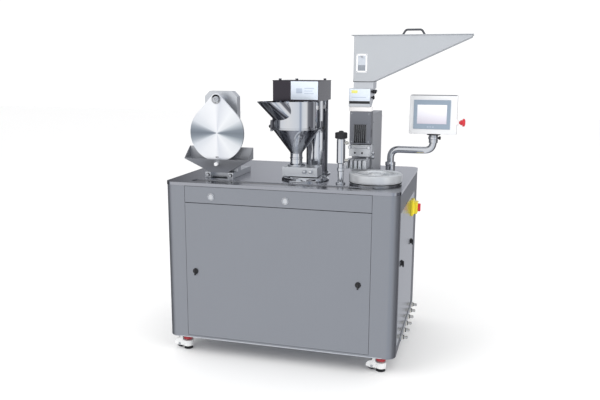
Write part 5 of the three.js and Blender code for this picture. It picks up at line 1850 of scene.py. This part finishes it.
    def lid(self) -> None:
        """Loose lid with a bent handle."""
        node = "hopper_lid"
        box = extent(node)
        body = "hopper_lid"
        sheet_top = box.low.z + 4 * MM
        sheet = block("lid_sheet", box.low, (box.high.x, box.high.y, sheet_top), bevel=1.2)
        fit(sheet, HOPPER_STEEL, body, Slot.SATIN, node)
        left, right = box.low.x + 250 * MM, box.low.x + 342 * MM
        top = box.high.z + (6 - self.handle_radius) * MM
        middle = box.middle.y
        points = [
            (left - 8 * MM, middle, sheet_top - 1 * MM), (left + 8 * MM, middle, top),
            (right - 8 * MM, middle, top), (right + 8 * MM, middle, sheet_top - 1 * MM),
        ]
        fit(bent_tube("lid_handle", points, self.handle_radius, 9), GREY_STEEL, body, Slot.SATIN)
        for index, x in enumerate((left - 8 * MM, right + 8 * MM)):
            foot = turned(
                f"lid_handle_foot_{index + 1}", ((0, -0.2), (9, -0.2), (9, 1.4), (6, 2.6), (0, 2.8)),
                (x, middle, sheet_top), steps=28,
            )
            fit(foot, BRIGHT_STEEL, body, Slot.SATIN)


# ---------------------------------------------------------------- ring table
@dataclass
class RingTable:
    """Turntable with the capsule ring on it."""

    holes_round: int = 60
    rows: tuple[float, ...] = (104.0, 94.0)
    hole_radius: float = 3.4
    rim: float = 14.0
    recess: float = 9.0
    hub: float = 40.0
    # Painted highlight and shade fans round the ring's axis.
    fans: tuple[tuple[float, str], ...] = (
        (0.0, "#C9CDD1"), (0.25, "#E6E9EC"), (0.5, "#D3D6DA"), (0.75, "#EEF0F2"), (1.0, "#C6CACE")
    )

    def build(self) -> None:
        """Build and dress the turntable and the ring."""
        self.turntable()
        self.ring()

    def turntable(self) -> None:
        """Plate with a black band round its edge that paints the shadow of the gap under the ring, its
        shaft and centre pin.
        """
        node = "loader_turntable"
        box = extent(node)
        base = extent("table_top").high.z
        foot = Vector((box.middle.x, box.middle.y, base))
        radius = (box.high.x - box.low.x) / 2 / MM
        depth = (base - box.low.z) / MM
        pin = (box.high.z - base) / MM
        profile = (
            (0, -depth), (15, -depth), (15, 0.6), (radius, 0.6), (radius, 9.6), (radius - 2, 10.4),
            (11.2, 10.4), (11.2, pin - 2), (9.4, pin), (0, pin),
        )
        fit(turned("turntable_plate", profile, foot, steps=96), MILLED, node, Slot.ALUMINIUM, node)
        # Black band at the plate's edge: painted shadow of the gap under the ring.
        shadow_band = turned(
            "turntable_shadow_band",
            (
                (radius - 0.2, 5.6), (radius + 4, 5.6), (radius + 4.6, 7.4), (radius + 4, 9.6),
                (radius - 0.2, 9.6), (radius - 0.2, 5.6),
            ),
            foot, steps=96
        )
        fit(shadow_band, RUBBER, node, Slot.BLACK)

    def ring(self) -> None:
        """Ring: turned body, rows of capsule holes and three windows round the hub."""
        node = "capsule_ring"
        box = extent(node)
        foot = Vector((box.middle.x, box.middle.y, box.low.z))
        radius = (box.high.x - box.low.x) / 2 / MM
        height = (box.high.z - box.low.z) / MM
        rim = radius - self.rim
        floor = height - self.recess
        profile = [
            (12, 0), (radius - 2, 0), (radius - 2, 4), (radius, 5), (radius, height - 3),
            (radius - 3, height),
            (88, height), (86, height - 2), (84, floor), (self.hub, floor), (self.hub - 2, height - 4),
            (26, height - 4), (24, height), (12, height), (12, 0),
        ]
        body = turned("ring_body", profile, foot, steps=120, bevel=0.6)
        cutters = []
        for row in self.rows:
            for index in range(self.holes_round):
                angle = TAU * (index + 0.5 * (row == self.rows[0])) / self.holes_round
                place = foot + Vector((math.cos(angle) * row, math.sin(angle) * row, height)) * MM
                cutters.append(self.hole(place))
        drilled(body, [merged("ring_drill", cutters)])
        windows = []
        for index in range(3):
            windows.append(self.window(foot, TAU * index / 3 + 0.5, rim, height))
        drilled(body, windows)
        rounded(body, 0, angle=35)
        # The fans paint highlight and shade into the ring's colour.
        faced = TurnedMetal(
            "lathe_turned_aluminium", "#D2D7DD", metallic=0.55, roughness=0.36, feature=1.8,
            contrast=0.04, relief=0.02, centre=tuple(foot), upright=True, fans=self.fans,
        )
        fit(body, faced, node, Slot.ALUMINIUM, node)

    def hole(self, place: Vector) -> Solid:
        """Short drill that sinks one capsule hole.

        Args:
            place: Middle of the hole's mouth, in metres.

        Returns:
            The cutter.
        """
        clear_selection()
        bpy.ops.mesh.primitive_cylinder_add(
            vertices=10, radius=self.hole_radius * MM, depth=24 * MM, location=place
        )
        return settle(bpy.context.object, "drill")

    def window(self, foot: Vector, middle: float, rim: float, height: float) -> Solid:
        """Kidney-shaped cutter between the hub and the rows of holes.

        Args:
            foot: Middle of the ring's underside, in metres.
            middle: Angle of the window's middle, in radians.
            rim: Inner radius of the rim in millimetres; not used.
            height: Height of the ring in millimetres.

        Returns:
            The cutter.
        """
        del rim
        inner, outer, half, steps = self.hub + 4.0, 80.0, 0.62, 12
        points = []
        for radius, order in ((inner, range(steps + 1)), (outer, range(steps, -1, -1))):
            for step in order:
                angle = middle - half + 2 * half * step / steps
                points.append(foot + Vector((math.cos(angle) * radius, math.sin(angle) * radius, 6.0)) * MM)
        return cut_out("ring_window", points, (0, 0, height * MM), bevel=0)


# ---------------------------------------------------------------- operator panel
@dataclass
class OperatorPanel:
    """Touch panel on a bent, polished pipe."""

    pipe_radius: float = 18.5
    bend: float = 46.0
    screen_inset: tuple[float, float] = (18.0, 26.0)

    def build(self) -> None:
        """Build and dress the pipe, the box, the screen and the emergency stop."""
        self.pipe()
        self.box()
        self.screen()
        self.emergency_stop()

    def pipe(self) -> None:
        """Socket on the table and the bent pipe in it."""
        collar = extent("arm_collar")
        foot = Vector((collar.middle.x, collar.middle.y, collar.low.z))
        height = (collar.high.z - collar.low.z) / MM
        bore = self.pipe_radius + 0.5
        profile = (
            (0, 0), (36, 0), (36, 5), (34, 8), (27, 9.5), (25, 12), (25, height - 20), (27, height - 18),
            (27, height - 3), (25, height), (bore, height), (bore, 12), (0, 12),
        )
        fit(turned("arm_socket", profile, foot, steps=64), MIRROR, "cabinet", Slot.POLISHED, "arm_collar")
        for index in range(4):
            angle = TAU * (index + 0.5) / 4
            place = foot + Vector((math.cos(angle) * 31, math.sin(angle) * 31, 7.6)) * MM
            fit(hexagon(f"socket_screw_{index + 1}", 6, 2.6, place), SCREW_STEEL, "cabinet", Slot.SATIN)
        box = extent("hmi_arm")
        swing, turn = joint_place("arm_swing"), joint_place("panel_swing")
        run = extent("table_top").high.z + 125 * MM
        points = [
            (swing.x, swing.y, box.low.z), (swing.x, swing.y, run), (turn.x, turn.y, run),
            (turn.x, turn.y, box.high.z),
        ]
        fit(
            bent_tube("arm_pipe", points, self.pipe_radius, self.bend), MIRROR, "hmi_arm", Slot.POLISHED,
            "hmi_arm",
        )

    def box(self) -> None:
        """White enclosure with its lip, neck, flange and clamp knob."""
        node = "hmi_box"
        box = extent(node)
        turn = joint_place("panel_swing")
        bottom = box.high.z - 197 * MM
        right = box.high.x - 11 * MM
        case = block(
            "panel_case", (box.low.x, box.low.y + 2.7 * MM, bottom),
            (right, box.high.y - 2.7 * MM, box.high.z), bevel=4.0,
        )
        fit(case, WHITE_COAT, "hmi_head", Slot.WHITE_PAINT, node)
        lip = block(
            "panel_top_strip", (box.low.x + 6 * MM, box.low.y + 3.5 * MM, box.high.z - 0.6 * MM),
            (right - 6 * MM, box.high.y - 4 * MM, box.high.z + 1.6 * MM), bevel=0.6
        )
        fit(lip, ANODISED, "hmi_head", Slot.GREY_ALUMINIUM)
        seam_low = Vector((box.low.x - 1 * MM, box.low.y + 30 * MM, bottom - 1 * MM))
        seam_high = Vector((right + 1 * MM, box.low.y + 33 * MM, box.high.z + 1 * MM))
        seam = block("panel_seam", seam_low, seam_high, bevel=3.0)
        drilled(
            seam,
            [
                block(
                    "seam_gap", shifted(seam_low, x=4, y=-3, z=4), shifted(seam_high, x=-4, y=3, z=-4),
                    bevel=1.0,
                )
            ],
        )
        fit(rounded(seam, 0), GREY_ABS, "hmi_head", Slot.GREY_ALUMINIUM)
        neck = turned(
            "panel_neck",
            (
                (19.4, -48), (22, -48), (23, -46), (23, -30), (26, -28), (26, -16), (23, -14), (23, -7),
                (19.4, -7), (19.4, -48),
            ),
            (turn.x, turn.y, bottom),
            steps=56,
        )
        fit(neck, MIRROR, "hmi_head", Slot.POLISHED)
        flange = turned(
            "panel_flange", ((19.4, -7.5), (30, -7.5), (35, -5), (35, -0.2), (19.4, -0.2), (19.4, -7.5)),
            (turn.x, turn.y, bottom), steps=56
        )
        fit(flange, BLACK, "hmi_head", Slot.BLACK)
        knob_place = Vector((turn.x + 24 * MM, turn.y, bottom - 22 * MM))
        knob = turned(
            "panel_clamp_knob",
            ((0, 0), (5, 0), (5, 3), (8.5, 4), (9.5, 8), (8.5, 12.5), (5, 13.6), (0, 13.8)), knob_place,
            Axis.RIGHT, steps=32
        )
        fit(knob, BLACK, "hmi_head", Slot.BLACK)
        for index, (x, z) in enumerate(((0.05, 0.07), (0.95, 0.07), (0.05, 0.93), (0.95, 0.93))):
            place = Vector(
                (
                    box.low.x + (right - box.low.x) * x, box.high.y - 2.9 * MM,
                    bottom + (box.high.z - bottom) * z,
                )
            )
            fit(
                socket_screw(f"panel_back_screw_{index + 1}", 3.4, 2.2, place, Axis.BACK), SCREW_STEEL,
                "hmi_head", Slot.SATIN,
            )

    def screen(self) -> None:
        """Raised frame, sunk display and a few plain fields on it."""
        node = "hmi_screen"
        box = extent(node)
        frame = block("screen_frame", box.low, box.high, bevel=1.4)
        dx, dz = self.screen_inset
        low = Vector((box.low.x + dx * MM, box.low.y - 4 * MM, box.low.z + dz * MM))
        high = Vector((box.high.x - dx * MM, box.low.y + 1.6 * MM, box.high.z - (dz - 2) * MM))
        drilled(frame, [block("screen_gap", low, high, bevel=0.6)])
        fit(rounded(frame, 0), BEZEL, "hmi_head", Slot.BEZEL, node)
        pane_low = Vector((low.x + 0.4 * MM, box.low.y + 1.0 * MM, low.z + 0.4 * MM))
        pane_high = Vector((high.x - 0.4 * MM, box.low.y + 1.7 * MM, high.z - 0.4 * MM))
        glow = GlowingScreen(
            "lit_touch_glass", "#ECECF0", roughness=0.12, low=tuple(pane_low), high=tuple(pane_high)
        )
        fit(block("touch_glass", pane_low, pane_high, bevel=0.2), glow, "hmi_head", Slot.BEZEL)
        bar = Extent(Vector(box.low), Vector(box.high))
        for index, x in enumerate((0.4, 0.47, 0.54)):
            place = bar.at(x, 0.0, 0.075)
            key = block(
                f"screen_mark_{index + 1}", shifted(place, x=-3.4, y=-0.3, z=-1.2),
                shifted(place, x=3.4, y=0.2, z=1.2), bevel=0.1,
            )
            fit(key, SIGN, "hmi_head", Slot.BEZEL)

    def emergency_stop(self) -> None:
        """Mushroom button with its collar on the right side of the box."""
        node = "estop_button"
        box = extent(node)
        right = extent("hmi_box").high.x
        centre = Vector((right, box.middle.y, box.middle.z))
        collar = turned(
            "stop_collar",
            ((8.2, -11), (15.5, -11), (15.5, -7), (14, -5.5), (13, -0.4), (8.2, -0.4), (8.2, -11)),
            centre, Axis.RIGHT, steps=40
        )
        fit(collar, SILICONE, "hmi_head", Slot.WHITE_PAINT)
        length = (box.high.x - right) / MM
        stem = length - 26
        profile = (
            (0, stem - 10), (7, stem - 10), (7, stem), (12.4, stem + 0.4), (13.4, stem + 11),
            (18.4, stem + 12),
            (20, stem + 14), (20, stem + 19), (18, stem + 23.4), (10, stem + 26), (0, stem + 26),
        )
        fit(
            turned("stop_mushroom", profile, centre, Axis.RIGHT, steps=56, bevel=0.5), RED, node,
            Slot.RED, node,
        )


# ---------------------------------------------------------------- studio
@dataclass
class Studio:
    """Plain pale floor, soft light and the camera."""

    camera_place: tuple[float, float, float] = (0.7563, -3.3302, 1.3997)
    turn: float = 0.2626
    tilt: float = -0.1897
    roll: float = 0.0053
    lens: float = 39.86

    def build(self) -> None:
        """Set up the floor, lights, room and camera."""
        self.floor()
        self.room()
        self.lamps()
        self.camera()

    def floor(self) -> None:
        """Large pale floor."""
        clear_selection()
        bpy.ops.mesh.primitive_plane_add(size=40.0, location=(0, 0, 0))
        floor = settle(bpy.context.object, "studio_floor")
        floor.visible_glossy = False
        paper = Finish(
            "matt_white_paper", "#FFFFFF", roughness=0.7, feature=400.0, contrast=0.004, relief=0.0
        )
        floor.data.materials.append(paper.material())

    def room(self) -> None:
        """White surroundings, with dark stretches that only reflections see."""
        world = bpy.data.worlds.new("studio_room")
        bpy.context.scene.world = world
        world.use_nodes = True
        tree = world.node_tree
        tree.nodes.clear()
        direction = add_node(tree, "ShaderNodeTexCoord").outputs["Generated"]
        split = add_node(tree, "ShaderNodeSeparateXYZ", {"Vector": direction})
        away = add_node(tree, "ShaderNodeMath", {0: split.outputs["Y"], 1: -1.0}, operation="MULTIPLY")
        angle = add_node(
            tree, "ShaderNodeMath", {0: split.outputs["X"], 1: away.outputs[0]}, operation="ARCTAN2"
        )
        share = add_node(
            tree, "ShaderNodeMapRange",
            {"Value": angle.outputs[0], "From Min": -math.pi, "From Max": math.pi}
        )
        ramp = add_node(tree, "ShaderNodeValToRGB", {"Fac": share.outputs["Result"]})
        banded = set_ramp(
            ramp,
            (
                (0.0, "#D4D6DC"), (0.05, "#C4C6CC"), (0.08, "#3A3A3F"), (0.2, "#2E2E33"),
                (0.225, "#9A9CA2"), (0.25, "#333338"), (0.29, "#3E3E44"), (0.32, "#F4F6FA"),
                (0.43, "#FFFFFF"), (0.57, "#EEF3FA"), (0.595, "#A9B4C6"), (0.62, "#F2F6FB"),
                (0.675, "#FFFFFF"), (0.7, "#85868C"), (0.77, "#66666C"), (0.8, "#C4C5CA"),
                (0.82, "#454449"), (0.92, "#3C3B40"), (0.945, "#C8CAD0"), (1.0, "#D4D6DC"),
            ),
        )
        path = add_node(tree, "ShaderNodeLightPath")
        white = add_node(tree, "ShaderNodeBackground", {"Color": (1, 1, 1, 1), "Strength": 1.08})
        bands = add_node(tree, "ShaderNodeBackground", {"Color": banded, "Strength": 1.0})
        both = add_node(
            tree, "ShaderNodeMixShader",
            {0: path.outputs["Is Glossy Ray"], 1: white.outputs[0], 2: bands.outputs[0]},
        )
        add_node(tree, "ShaderNodeOutputWorld", {"Surface": both.outputs[0]})
        bpy.context.scene.view_settings.view_transform = "Standard"

    def lamps(self) -> None:
        """Two large soft lamps: one high on the left, one low on the right."""
        for name, place, power, size in (
            ("key_light", (-2.6, -3.2, 3.4), 60.0, 2.4), ("fill_light", (3.4, -1.6, 2.0), 25.0, 2.0)
        ):
            lamp = bpy.data.lights.new(name, "AREA")
            lamp.energy = power
            lamp.size = size
            placed = bpy.data.objects.new(name, lamp)
            placed.location = place
            placed.visible_glossy = False
            aim = Vector((0, 0, 0.8)) - Vector(place)
            placed.rotation_euler = aim.to_track_quat("-Z", "Y").to_euler()
            bpy.context.scene.collection.objects.link(placed)

    def camera(self) -> None:
        """Camera in front and to the right, a little above the machine."""
        data = bpy.data.cameras.new("camera")
        data.lens = self.lens
        data.sensor_width = 36.0
        data.clip_end = 200.0
        camera = bpy.data.objects.new("camera", data)
        bpy.context.scene.collection.objects.link(camera)
        turn = Matrix.Rotation(self.turn, 4, "Z")
        tilt = Matrix.Rotation(math.pi / 2 + self.tilt, 4, "X")
        roll = Matrix.Rotation(self.roll, 4, "Z")
        camera.matrix_world = Matrix.Translation(Vector(self.camera_place)) @ turn @ tilt @ roll
        bpy.context.scene.camera = camera


def main() -> None:
    """Build the studio and every sub-assembly in order."""
    logging.basicConfig(level=logging.INFO, format="%(message)s")
    assemblies = [
        Studio(), Cabinet(),
        *(LevellingCaster(side) for side in ("front_left", "front_right", "rear_left", "rear_right")),
        ClosingStation(), PowderStation(), Loader(), RingTable(), OperatorPanel(),
    ]
    for assembly in assemblies:
        LOG.info("building %s", type(assembly).__name__)
        assembly.build()


if __name__ == "__main__":
    main()
